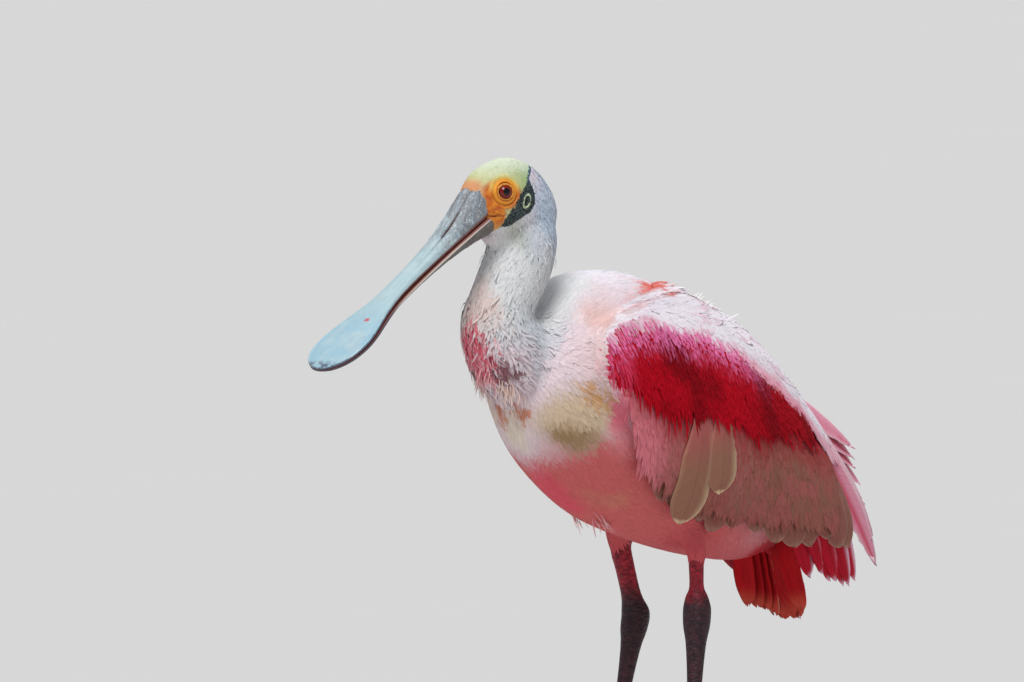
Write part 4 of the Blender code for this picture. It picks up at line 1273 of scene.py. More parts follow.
def coatShape(p, neck, arms, rng):
    # length, width, rise, curl, bend and turn of each small feather
    count = len(p)
    nape = smoothstep(p[:, 2], 0.366, 0.392)
    shag = neck * smoothstep(p[:, 1], -0.126, -0.150) * smoothstep(p[:, 2], 0.350, 0.325)
    away = np.linalg.norm((np.abs(p) - np.array(coat["goldAt"])) / coat["goldReach"], axis=1)
    gold = smoothstep(away, 1.0, 0.3)
    length = coat["length"] + coat["armLonger"] * arms
    length = length * (1 - neck) + neck * (coat["neckLength"] + coat["shagLonger"] * shag)
    length = length * (1 - nape) + nape * coat["napeLength"]
    length = (length + gold * coat["goldLonger"]) * rng.uniform(0.75, 1.25, count)
    width = coat["width"] * (1 - neck) + neck * (coat["neckWidth"] + coat["shagWider"] * shag)
    width = width * rng.uniform(0.75, 1.25, count) * (1 - 0.25 * nape)
    downy = neck * (1 - nape)
    rise = 0.0003 * (1 - neck) + downy * 0.0007 + nape * 0.0004 + 0.0026 * shag + 0.0006 * gold
    rise = rise * rng.uniform(0.5, 1.3, count)
    loose = rng.random(count) > 0.99
    rise = np.where(loose & (neck > 0.5), rise + 0.0024, rise)
    wander = 0.04 + (0.12 + 0.16 * shag) * downy + 0.06 * gold
    turn = rng.normal(0, 1, count) * wander + 0.08 * waves(p, 0.020, 42)
    turn = turn + (0.14 + 0.14 * shag) * downy * waves(p, 0.008, 43)
    curl = 0.3 + 0.9 * neck * rng.random(count)
    bend = rng.normal(0, 0.05 + 0.12 * neck, count)
    return width, turn, {"length": length, "rise": rise, "curl": curl, "bend": bend, "sink": coat["sink"]}


def coatGroups(p, neck, arms):
    body = (neck < 0.5) & (arms < 0.5)
    _, level = bodyPlace(p)
    return {
        "neck_plumes": neck >= 0.5,
        "shoulder_plumes": (neck < 0.5) & (arms >= 0.5),
        "mantle_plumes": body & (level > 0.15),
        "breast_plumes": body & (level <= 0.15) & (p[:, 1] < -0.045),
        "belly_plumes": body & (level <= 0.15) & (p[:, 1] >= -0.045),
    }


def dress(piece):
    # the coat of small feathers, in pieces that are small enough to export
    mesh = piece.data
    tree = BVHTree.FromPolygons([v.co for v in mesh.vertices], [f.vertices[:] for f in mesh.polygons])
    root, normal, draw, area = surfaceSpots(mesh, coat["count"], coat["seed"])
    p = root - np.array(shift)
    keep = wearsCoat(p, draw)
    root, normal, draw, p = root[keep], normal[keep], draw[keep], p[keep]
    rng = np.random.default_rng(coat["seed"] + 1)
    reach, nearest = nearNeck(p)
    neck = smoothstep(reach, 1.40, 1.05) * smoothstep(nearest, 126, 100)
    neck = np.maximum(neck, smoothstep(p[:, 2], 0.350, 0.360))
    arms = onArm(p)
    width, turn, spec = coatShape(p, neck, arms, rng)
    way = lieAt(p, normal)
    way = unit(way * np.cos(turn)[:, None] + np.cross(normal, way) * np.sin(turn)[:, None])
    line, facing = hug(tree, root, normal, way, spec)
    tint = markingsAt(p, draw)
    fade = rng.uniform(0.95, 1.04, len(p))[:, None]
    # each blade is a little darker at its root than at its tip, more on the neck: painted shade where the
    # blades overlap
    base, tip = tint * (0.96 - 0.04 * neck[:, None]) * fade, tint * 1.02 * fade
    uv = bodyMap(p)
    turnNeck = np.arctan2(p[:, 0], p[:, 1] - neckRun[nearest, 0])
    uvNeck = np.stack([roundMap(turnNeck), 0.02 + 0.96 * nearest / len(neckRun)], -1)
    made = [looseTufts(tree)]
    for name, chosen in coatGroups(p, neck, arms).items():
        index = np.nonzero(chosen)[0]
        parts = max(1, math.ceil(len(index) / coat["most"]))
        index = index[np.argsort(p[index, 0], kind="stable")]
        mapped = uvNeck if name == "neck_plumes" else uv
        for k, some in enumerate(np.array_split(index, parts)):
            label = f"{name}_{k + 1}" if parts > 1 else name
            tints, blades = (base[some], tip[some]), (width[some], mapped[some], draw[some])
            made.append(bladesMesh(label, line[some], facing[some], *tints, *blades, coat["ridge"][name]))
    print("plumes:", len(p), "on", round(area, 4), "square metres")
    return made


# wing and tail feathers

vane = {
    "along": 20,
    "across": 9,
    "thick": 0.0005,
    "slant": 0.0010,
    "split": 0.16,
    "fray": 0.0008,
    "ripple": 0.00010,
    "shaft": 0.00030,
    "shaftWidth": 0.0007,
    "middle": 0.0006,  # how near to the bird's middle a vane may come
    "uneven": 0.22,
    "tipSpread": 0.0016,
    "sag": 0.05,
    "layer": 0.0005,  # every second vane lies this much higher
}
vane["stations"] = 1 - (1 - np.linspace(0, 1, vane["along"])) ** 1.7


def vaneWidth(t, tip):
    # half width along a vane as a share of the widest, with a rounder or a narrower tip
    start, power = {"round": (0.74, 2.0), "oval": (0.58, 2.0), "lance": (0.30, 1.7)}[tip]
    rounding = np.clip((t - start) / (1 - start), 0, 1)
    return np.minimum(0.45 + 1.3 * t, 1.0) * np.clip(1 - rounding**power, 0.004, 1) ** 0.5


def vaneFaces(count, n, m):
    # the quads of closed feathers: their long faces and edges, then the two ends
    wide = 2 * m
    base = (np.arange(count) * n * wide)[:, None, None]
    ring, turned = np.arange(wide), (np.arange(wide) + 1) % wide
    start = base + (np.arange(n - 1) * wide)[None, :, None]
    a, b = start + ring, start + turned
    body = np.stack([a, b, b + wide, a + wide], -1).reshape(count, -1, 4)
    k = np.arange(m - 1)
    root = np.stack([k + 1, k, wide - 1 - k, wide - 2 - k], -1)[None] + base
    top = np.stack([k, k + 1, wide - 2 - k, wide - 1 - k], -1)[None] + base + (n - 1) * wide
    return np.concatenate([body, root, top], 1)


def cornersOf(*pairs):
    # map places of the four corners of each face
    return np.stack([np.stack(pair, -1) for pair in pairs], -2)


def vaneMap(count, m):
    # each feather has a strip of the map of its own, both of its faces side by side
    wide, t = 2 * m, vane["stations"]
    shape = (count, len(t) - 1, wide)
    r0 = np.broadcast_to(np.arange(wide) / wide, shape)
    r1 = r0 + 1 / wide
    s0, s1 = (np.broadcast_to(part[None, :, None], shape) for part in (t[:-1], t[1:]))
    body = cornersOf((r0, s0), (r1, s0), (r1, s1), (r0, s1)).reshape(count, -1, 4, 2)
    left = np.broadcast_to(np.arange(m - 1)[None] / wide, (count, m - 1))
    right, zero, one = left + 1 / wide, np.zeros(left.shape), np.ones(left.shape)
    low, high = zero - 0.02, one + 0.02
    root = cornersOf((right, zero), (left, zero), (left, low), (right, low))
    top = cornersOf((left, one), (right, one), (right, high), (left, high))
    columns = math.ceil(math.sqrt(count * 0.5))
    rows = math.ceil(count / columns)
    cell = np.stack([np.arange(count) % columns / columns, np.arange(count) // columns / rows], -1)
    uv = np.concatenate([body, root, top], 1)
    return (uv * 0.92 + 0.04) / np.array([columns, rows]) + cell[:, None, None, :]


def vanesMesh(name, place, facing, half, spec, tint, mirror=False):
    # closed feathers from their middle lines (count, along, 3), the way each faces and its half widths
    count, n = place.shape[:2]
    m = vane["across"]
    rng = np.random.default_rng(spec["seed"])
    t, u = vane["stations"], np.linspace(-1, 1, m)
    tAll, uAll = t[None, :, None], u[None, None, :]
    along = unit(np.gradient(place, axis=1))
    across = unit(np.cross(facing, along))
    width = vaneWidth(t, spec["tip"])[None, :] * half[:, None]
    pitch, start = rng.uniform(8, 16, (count, 1)), rng.uniform(0, 6, (count, 1))
    width = width * (1 + 0.03 * np.sin(t[None, :] * pitch + start))
    x = width[:, :, None] * uAll
    # splits, where the barbs of one edge part from each other
    split = np.zeros((count, n, m))
    for _ in range(spec.get("splits", 2)):
        at = rng.uniform(0.35, 0.97, (count, 1, 1))
        edge = rng.choice([-1.0, 1.0], (count, 1, 1))
        notch = np.exp(-(((tAll - at - 0.10 * np.abs(u)) / 0.022) ** 2)) * np.clip(uAll * edge, 0, 1) ** 2
        split = np.maximum(split, notch)
    x = x * (1 - spec.get("split", vane["split"]) * split)
    slant = uAll * spec.get("slant", vane["slant"]) * np.minimum(1, 3 * tAll)
    sunk = x**2 / (2 * spec["bow"]) + slant
    ragged = rng.normal(0, spec.get("fray", vane["fray"]), (count, m))[:, None, :] * (tAll > 0.8) * tAll**8
    ripple = vane["ripple"] * np.sin(tAll * 40 + uAll * 6 + rng.uniform(0, 6, (count, 1, 1)))
    shaft = vane["shaft"] * np.exp(-((x / vane["shaftWidth"]) ** 2)) * (1 - 0.7 * tAll)
    middle = place[:, :, None, :] + across[:, :, None, :] * x[..., None]
    middle = middle + along[:, :, None, :] * ragged[..., None]
    out = facing[:, :, None, :]
    middle = middle + out * (ripple - sunk)[..., None]
    thick = vane["thick"] / 2 * (1 - 0.55 * np.abs(uAll)) * (1 - 0.5 * tAll)
    outer = middle + out * (thick + shaft)[..., None]
    inner = (middle - out * thick[..., None])[:, :, ::-1]
    ring = np.concatenate([outer, inner], 2)
    if spec.get("paired", True):
        ring[..., 0] = np.maximum(ring[..., 0], vane["middle"])
    quads, uv = vaneFaces(count, n, m), vaneMap(count, m)
    if mirror:
        ring[..., 0] *= -1
        quads, uv = quads[:, :, ::-1], uv[:, :, ::-1]
    shape = (count, n, 2 * m)
    t3 = np.broadcast_to(tAll, shape)
    u3 = np.broadcast_to(np.concatenate([u, u[::-1]]), shape)
    front = np.broadcast_to(np.concatenate([np.ones(m), np.zeros(m)]), shape)
    chance = np.broadcast_to(rng.random(count)[:, None, None], shape)
    length = np.linalg.norm(np.diff(place, axis=1), axis=2).sum(1)[:, None, None]
    barbs = np.stack([t3 * length * 1000, u3 * width[:, :, None] * 1000, chance * 50], -1)
    values = {"tint": tint(t3, u3, chance, front).reshape(-1, 3), "barbs": barbs.reshape(-1, 3)}
    points = ring.reshape(-1, 3) + np.array(shift)
    return joinedMesh(name, points, quads.reshape(-1, 4), {"OFBake": uv.reshape(-1, 4, 2)}, values)


def blendTint(*parts):
    # a colour over which others are laid by their shares
    made = np.array(parts[0]) * np.ones((*parts[1][1].shape, 3))
    for shade, share in parts[1:]:
        made = lay(made, shade, np.clip(share, 0, 1))
    return made


underside = colour(206, 96, 112)


def streaks(t, u, chance, pitch, seed=0):
    # uneven bands along the barbs, 0 to 1
    turn = np.abs(u) * 1.3 + t * pitch + chance * 40 + seed
    return 0.5 + 0.5 * np.sin(turn * 2 * np.pi + 1.7 * np.sin(turn * 2.3))


# brownish pink, darker than the secondaries' own pale pink: painted shade of the lower wing; darker still
# towards the tips (dusk), more painted shade
def secondaryTint(t, u, chance, front):
    edge = smoothstep(np.abs(u), 0.84, 1.0) + smoothstep(t, 0.95, 1.0)
    rosy = smoothstep(chance + 0.3 * streaks(t, u, chance, 1.2), 0.4, 1.3)
    dusk = smoothstep(t, 0.35, 0.95) * 0.6
    return blendTint(
        colour(162, 104, 94), (colour(180, 90, 96), rosy * 0.5), (colour(138, 90, 76), dusk),
        (colour(190, 150, 132), edge * 0.35), (underside, 1 - front),
    )


# brownish pink, darker than the coverts' own pale brownish pink: painted shade of the lower wing; carmine at
# the roots and paler edges
def covertTint(t, u, chance, front):
    edge = smoothstep(np.abs(u), 0.82, 1.0) + smoothstep(t, 0.93, 1.0)
    rosy = smoothstep(chance + 0.3 * streaks(t, u, chance, 1.0), 0.3, 1.2)
    return blendTint(
        colour(176, 112, 102), (colour(186, 92, 96), rosy * 0.6),
        (colour(178, 34, 58), smoothstep(t, 0.5, 0.1)),
        (colour(196, 156, 138), edge * 0.30), (underside, 1 - front),
    )


def flightTint(t, u, chance, front):
    # carmine with pale pink lower edges
    pale = smoothstep(u, 0.35, 0.75) * smoothstep(chance, 0.2, 0.6) + smoothstep(t, 0.95, 1.0)
    dark = smoothstep(streaks(t, u, chance, 0.8, 2), 0.5, 1.0) * 0.4
    return blendTint(
        colour(186, 14, 40), (colour(120, 2, 18), dark),
        (colour(240, 186, 206), pale * 0.9), (underside, (1 - front) * 0.5),
    )


def creamTint(t, u, chance, front):
    edge = smoothstep(u, 0.66, 0.92) * smoothstep(t, 0.1, 0.35)
    edge = edge + smoothstep(t, 0.955, 0.985) + 0.15 * smoothstep(-u, 0.92, 0.99)
    return blendTint(
        colour(158, 110, 90), (colour(178, 94, 92), smoothstep(t, 0.6, 0.1)),
        (colour(228, 198, 160), edge * 0.85),
    )


def redTint(t, u, chance, front):
    pale = smoothstep(t + 0.25 * (streaks(t, u, chance, 2.0) - 0.5), 0.88, 1.08)
    dark = smoothstep(streaks(t, u, chance, 0.7, 3), 0.5, 1.0)
    return blendTint(plumage["band"], (plumage["bandDark"], dark * 0.6), (colour(206, 84, 100), pale * 0.5))


def tertialTint(t, u, chance, front):
    streak = smoothstep(np.abs(u + 0.35 * np.sin(chance * 20)), 0.42, 0.0) * smoothstep(t, 0.1, 0.4)
    streak = streak * (0.25 + 0.75 * (chance > 0.40))
    edge = smoothstep(np.abs(u), 0.70, 1.0)
    return blendTint(
        colour(230, 150, 172), (colour(206, 36, 72), streak * 0.8),
        (colour(208, 100, 124), smoothstep(t, 0.7, 0.1) * 0.7),
        (colour(252, 234, 240), edge * 0.7), (colour(230, 150, 168), (1 - front) * 0.8),
    )


def scapularTint(t, u, chance, front):
    rosy = smoothstep(streaks(t, u, chance, 0.5), 0.6, 1.0) * 0.35
    return blendTint(
        colour(234, 214, 224), (colour(226, 150, 170), rosy),
        (colour(246, 236, 240), smoothstep(np.abs(u), 0.6, 1.0) * 0.7),
    )


def tailTint(t, u, chance, front):
    dark = smoothstep(streaks(t, u, chance, 1.0), 0.6, 1.0) * 0.4
    edge = smoothstep(np.abs(u), 0.90, 1.0) * smoothstep(chance, 0.90, 0.92)
    return blendTint(
        colour(192, 18, 28),
        (colour(140, 4, 20), np.maximum(dark, smoothstep(t, 0.55, 0.1))),
        (colour(238, 130, 100), smoothstep(t, 0.80, 1.0) * 0.35),
        (colour(240, 170, 140), edge * 0.7),
    )


# each tier: the lines of its roots and tips as (y, z), the count, the half width, how far the roots and the
# tips lie off the body, and the radius that a vane is bent to from edge to edge
tiers = {
    "primaries": {
        "roots": ((0.060, 0.212), (0.080, 0.220), (0.096, 0.232)),
        "tips": ((0.116, 0.142), (0.142, 0.134), (0.166, 0.132)),
        "count": 7, "half": 0.0095, "offs": (0.0010, 0.0010), "bow": 0.045, "turn": 0.9,
        "tip": "oval", "tint": flightTint,
    },
    "secondaries": {
        "roots": ((-0.042, 0.262), (0.030, 0.258), (0.098, 0.242)),
        "tips": ((-0.033, 0.199), (0.019, 0.180), (0.096, 0.165), (0.156, 0.158)),
        "count": 13, "half": 0.0145, "offs": (0.0020, 0.0030), "bow": 0.060,
        "tip": "round", "tint": secondaryTint,
        "slant": 0.0006,
    },
    "greater_coverts": {
        "roots": ((-0.058, 0.276), (0.005, 0.272), (0.060, 0.262)),
        "tips": ((-0.050, 0.226), (0.014, 0.204), (0.084, 0.186)),
        "count": 10, "half": 0.0135, "offs": (0.0032, 0.0040), "bow": 0.055,
        "tip": "round", "tint": covertTint,
        "slant": 0.0005,
    },
    "median_coverts": {
        "roots": ((-0.070, 0.290), (-0.010, 0.292), (0.064, 0.268)),
        "tips": ((-0.062, 0.238), (0.005, 0.226), (0.090, 0.204)),
        "count": 13, "half": 0.0118, "offs": (0.0036, 0.0050), "bow": 0.055,
        "tip": "round", "tint": covertTint,
        "slant": 0.0005,
    },
    "carmine_coverts": {
        "roots": ((-0.083, 0.302), (-0.015, 0.306), (0.066, 0.276)),
        "tips": ((-0.070, 0.276), (-0.040, 0.261), (0.000, 0.260), (0.090, 0.232)),
        "count": 20, "half": 0.0085, "offs": (0.0036, 0.0064), "bow": 0.060, "tip": "oval", "tint": redTint,
        "fray": 0.0016, "slant": 0.0006,
    },
    "tertials": {
        "roots": ((0.050, 0.278), (0.072, 0.270), (0.090, 0.256)),
        "tips": ((0.168, 0.228), (0.184, 0.190), (0.182, 0.146)),
        "count": 11, "half": 0.0110, "offs": (0.0030, 0.0052), "bow": 0.045,
        "turn": 1.2, "tip": "oval", "tint": tertialTint,
        "fray": 0.0025, "slant": 0.0010,
    },
    "scapulars": {
        "roots": ((-0.060, 0.318), (-0.006, 0.326), (0.042, 0.310)),
        "tips": ((0.002, 0.318), (0.068, 0.286), (0.136, 0.236)),
        "count": 9, "half": 0.0120, "offs": (0.0036, 0.0068), "bow": 0.050,
        "tip": "lance", "tint": scapularTint,
        "fray": 0.0018, "slant": 0.0006,
    },
    "upper_scapulars": {
        "roots": ((-0.020, 0.322), (0.006, 0.322), (0.036, 0.308)),
        "tips": ((0.030, 0.308), (0.078, 0.282), (0.138, 0.240)),
        "count": 9, "half": 0.0110, "offs": (0.0024, 0.0056), "bow": 0.030,
        "tip": "lance", "tint": scapularTint,
        "fray": 0.0018, "slant": 0.0006,
    },
}


def between(root, tip):
    # straight middle lines from roots to tips
    t = vane["stations"][None, :, None]
    return root[:, None] * (1 - t) + tip[:, None] * t


def wingTier(name, side):
    spec = dict(tiers[name], seed=sum(map(ord, name)) + side)
    rng = np.random.default_rng(spec["seed"] + 50)
    count = spec["count"]
    uneven = rng.uniform(-vane["uneven"], vane["uneven"], count)
    share = np.clip((np.arange(count) + uneven) / (count - 1), 0, 1)
    root = rowsAt(spec["roots"], share * (len(spec["roots"]) - 1))
    tip = rowsAt(spec["tips"], share * (len(spec["tips"]) - 1)) + rng.normal(0, vane["tipSpread"], (count, 2))
    t = vane["stations"][None, :, None]
    aside = np.stack([tip[:, 1] - root[:, 1], root[:, 0] - tip[:, 0]], -1)[:, None]
    sag = aside * (vane["sag"] * np.sin(np.pi * t))
    line = between(root, tip) - sag
    near, far = spec["offs"]
    off = near * (1 - t[..., 0]) + far * t[..., 0] + (np.arange(count) % 2)[:, None] * vane["layer"]
    place, facing = onWrap(line[..., 0], line[..., 1], off)
    facing = unit(facing + np.array([spec.get("turn", 0.0), 0, 0]))
    half = spec["half"] * rng.uniform(0.92, 1.08, count)
    return vanesMesh(f"{name}_{nameOf(side)}", place, facing, half, spec, spec["tint"], side < 0)


creams = {
    # for each of the two feathers: root and tip as (y, z), how far they lie off the body, half width
    "roots": ((-0.016, 0.258), (0.003, 0.258)),
    "tips": ((-0.014, 0.187), (0.009, 0.205)),
    "rootOffs": ((0.0072,), (0.0064,)),
    "tipOffs": ((0.0088,), (0.0080,)),
    "halves": (0.0150, 0.0130),
}


def creamPair(side):
    # two round feathers with cream edges at the front of the wing
    line = between(np.array(creams["roots"]), np.array(creams["tips"]))
    off = between(np.array(creams["rootOffs"]), np.array(creams["tipOffs"]))[..., 0]
    place, facing = onWrap(line[..., 0], line[..., 1], off)
    spec = {"seed": 90 + side, "bow": 0.06, "tip": "round", "splits": 1, "split": 0.06}
    half = np.array(creams["halves"])
    return vanesMesh(f"cream_feathers_{nameOf(side)}", place, facing, half, spec, creamTint, side < 0)


wingLines = {
    # along the wing as (y, z): the fold in front of the shoulder, and the lower edges of the carmine bar
    # and of the secondaries
    "fold": (
        (-0.094, 0.308), (-0.084, 0.321), (-0.066, 0.331), (-0.045, 0.337), (-0.025, 0.341),
        (0.0, 0.360), (0.14, 0.36),
    ),
    "red": (
        (-0.104, 0.296), (-0.090, 0.289), (-0.080, 0.283), (-0.068, 0.275), (-0.055, 0.264),
        (-0.046, 0.261), (-0.022, 0.257), (-0.004, 0.258), (0.017, 0.250), (0.037, 0.242),
        (0.057, 0.243), (0.079, 0.238), (0.100, 0.226),
    ),
    "tips": ((-0.060, 0.215), (-0.033, 0.201), (0.019, 0.181), (0.096, 0.165), (0.156, 0.158)),
}
overlay = {
    # blades over the wing's vanes: count, length, width, how far root and tip lie off the body, spread, ridge
    "bar_plumes": (5200, 0.0145, 0.0014, 0.0068, 0.0080, 0.07, 0.07),
    "scapular_plumes": (4000, 0.0230, 0.0029, 0.0078, 0.0086, 0.03, 0.02),
    "covert_plumes": (4600, 0.0240, 0.0032, 0.0052, 0.0060, 0.02, 0.02),
}


# the part of the side view in which roots of the fine feathers are drawn
wingArea = {"y": (-0.104, 0.150), "z": (0.16, 0.36), "tries": 14}


def lineAt(name, y):
    line = np.array(wingLines[name])
    return np.interp(y, line[:, 0], line[:, 1])


def plumeRoots(name, y, z, level):
    # true where the fine feathers of one kind have their roots
    if name == "bar_plumes":
        return (z < bandEdge(y)) & (z > lineAt("red", y) + 0.009) & (y > -0.0935) & (y < 0.100)
    if name == "scapular_plumes":
        inside = (z > bandEdge(y) - 0.001) & (z < lineAt("fold", y)) & (level < 0.93)
        return inside & (y > -0.094) & (y < 0.128)
    front = -0.076 + 0.5 * np.clip(0.275 - z, 0, 1)
    return (z < lineAt("red", y) + 0.006) & (z > lineAt("tips", y) + 0.026) & (y > front) & (y < 0.120)


def plumeWays(name, y, z, turn):
    # the way the fine feathers point in the side view, each turned a little
    rear = smoothstep(y, -0.02, 0.11)
    if name == "scapular_plumes":
        steep = 0.35 * smoothstep(z - bandEdge(y), 0.012, 0.0)
        way = np.stack([np.full(len(y), 0.86), -0.06 - 0.68 * rear - steep], -1)
    else:
        way = np.stack([0.16 + 0.40 * rear, -0.97 + 0.15 * rear], -1)
    way[:, 0] += 0.16 * smoothstep(y, -0.070, -0.096) * (name == "bar_plumes")
    ahead, up = unit(way).T
    return ahead * np.cos(turn) - up * np.sin(turn), ahead * np.sin(turn) + up * np.cos(turn)


def covertPlumeTints(root, y, z, draw):
    # brown with rosy feathers among them, rose at the front, and carmine under the bar; the brown is darker
    # than the feathers' own pale brownish pink, as painted shade of the lower wing
    depth = lineAt("red", y) - z
    # painted shade, deepening further below the bar and to the rear
    deep = np.maximum(smoothstep(depth, 0.01, 0.05), 0.8 * smoothstep(y, -0.01, 0.05))
    brown = lay(colour(176, 110, 104), colour(138, 95, 78), deep)
    rosy = smoothstep(waves(root, 0.014, 64) + draw * 1.2 + smoothstep(y, 0.0, -0.05) * 0.6, 0.4, 1.7)
    front = smoothstep(y, -0.036, -0.060) * 0.85
    base = lay(lay(brown, colour(194, 90, 100), rosy * 0.7), colour(228, 112, 130), front)
    fall = smoothstep(depth, -0.006, 0.008) * (0.4 + 0.6 * draw)
    base = lay(colour(170, 24, 46), base, fall)
    return base, base * 0.4 + lay(brown, colour(236, 146, 156), front) * 0.62


def wingPlumes(name, side):
    count, length, width, low, high, spread, ridge = overlay[name]
    bar, scapular = name == "bar_plumes", name == "scapular_plumes"
    rng = np.random.default_rng(sum(map(ord, name)) + 7 * side)
    y = rng.uniform(*wingArea["y"], count * wingArea["tries"])
    z = rng.uniform(*wingArea["z"], count * wingArea["tries"])
    _, level, _, _, _ = wrapAt(form["wrap"], y, z)
    # near the back the surface tilts away, so that more roots are kept there
    chosen = rng.random(len(y)) < 0.42 / np.sqrt(np.clip(1 - level**2, 0.09, 1))
    inside = plumeRoots(name, y, z, level) & chosen
    index = np.nonzero(inside)[0][:count]
    y, z, level = y[index], z[index], level[index]
    count = len(y)
    turn = rng.normal(0, spread, count) + 0.10 * waves(np.stack([y, z, 0 * y], -1), 0.016, 61)
    ahead, up = plumeWays(name, y, z, turn)
    length = length * rng.uniform(0.7, 1.3, count)
    draw = rng.random(count)
    under = bandEdge(y) - z
    scale = smoothstep(under, 0.020, 0.006) * bar
    fringe = smoothstep(z - lineAt("red", y), 0.020, 0.010) * bar
    length = length * (1 - 0.42 * scale) * (1 + 0.7 * fringe * rng.random(count) ** 2)
    width = width * (1 + 0.5 * scale)
    # towards the fold and the back the feathers come down onto the surface
    share = 0.45 + 0.55 * (smoothstep(y, -0.100, -0.062) if scapular else smoothstep(y, -0.108, -0.090))
    if scapular:
        share *= 0.16 + 0.84 * smoothstep(lineAt("fold", y) - z, -0.001, 0.015)
        share *= 1 - 0.92 * smoothstep(level, 0.64, 0.92) * (1 - 0.85 * smoothstep(y, 0.010, 0.060))
    settle = 0.0020 * smoothstep(z - bandEdge(y), 0.014, 0.0) * scapular
    line, facing = [], []
    for t in blade["at"]:
        off = (low + (high - low) * t - settle * t + 0.0005 * draw) * share - 0.0009 * (t == 0)
        point, normal = onWrap(y + ahead * length * t, z + up * length * t, off, 0.985)
        point[:, 0] = np.maximum(point[:, 0], 0.0008)
        line.append(point)
        facing.append(normal)
    line, facing = np.stack(line, 1), np.stack(facing, 1)
    root = line[:, 0]
    if name == "covert_plumes":
        base, tip = covertPlumeTints(root, y, z, draw)
    else:
        tint = bandTint(root, draw, np.tile(np.array(plumage["base"]), (count, 1)), np.ones(count))
        pink = smoothstep(under, 0.018, 0.004) * (rng.random(count) > 0.40) * bar
        pink = pink * smoothstep(y, 0.060, 0.010)
        # each blade a little darker at its root than at its tip: painted shade where the blades overlap
        base, tip = tint * 0.95, lay(tint * 1.02, plumage["bandMottle"], pink * 0.85)
    sign = np.array([float(side), 1.0, 1.0])
    line, facing = line * sign + np.array(shift), facing * sign
    corner, size = np.array([-0.10, 0.15]), np.array([0.26, 0.22])
    uv = (np.stack([y, z], -1) - corner) / size * 0.92 + 0.04
    fade = rng.uniform(0.96, 1.03, count)[:, None]
    width = width * rng.uniform(0.8, 1.2, count)
    return bladesMesh(f"{name}_{nameOf(side)}", line, facing, base * fade, tip * fade, width, uv, draw, ridge)


tail = {
    "count": 12, "root": (0.020, 0.104, 0.186), "tip": (0.026, 0.130, 0.108),
    "half": 0.0098, "bow": 0.010,
}


def makeTail():
    share = np.linspace(-1, 1, tail["count"])
    rng = np.random.default_rng(71)
    rootX, rootY, rootZ = tail["root"]
    tipX, tipY, tipZ = tail["tip"]
    layer = np.abs(share) * 0.004
    root = np.stack([rootX * share, rootY - layer, np.full(len(share), rootZ)], -1)
    tip = np.stack([tipX * share, tipY - layer - tail["bow"] * share**2, tipZ + 0.008 * share**2], -1)
    tip[:, 2] += rng.uniform(0, 0.004, len(share))
    place = between(root, tip)
    facing = unit(np.cross(tip - root, np.array([1.0, 0, 0])))
    facing = np.where(facing[:, 1:2] < 0, -facing, facing)
    facing = np.repeat(facing[:, None], vane["along"], 1)
    half = tail["half"] * rng.uniform(0.94, 1.04, len(share))
    spec = {
        "seed": 72, "bow": 0.03, "tip": "round", "paired": False, "fray": 0.0012,
        "split": 0.08, "slant": 0.0008,
    }
    return vanesMesh("tail_feathers", place, facing, half, spec, tailTint)


# looks

def headFields(p):
    # how far each point is from the dark band, the eye and the ear, to be cut sharp in the shader
    q = leftHalf(p)
    runY, runZ, half = darkRun.T
    band = (np.hypot(q[:, None, 1] - runY, q[:, None, 2] - runZ) - half).min(1) * 1000
    eye, way = np.array(face["eye"]), np.array(face["eyeWay"])
    offset = q - eye
    ring = np.linalg.norm(offset - (offset @ way)[:, None] * way, axis=1) * 1000
    return band, ring, earPlace(q)


def paintSkin(piece):
    p = pointsOf(piece.data) - np.array(shift)
    tint = markingsAt(p, np.full(len(p), 0.5), 0.0)
    band, ring, ear = headFields(p)
    # the skin takes the feathers' colours a little darker: painted shade under the feathers
    values = {"tint": tint * 0.92, "bare": bareHead(p).astype(float), "band": band, "ring": ring, "ear": ear}
    addValues(piece.data, values)


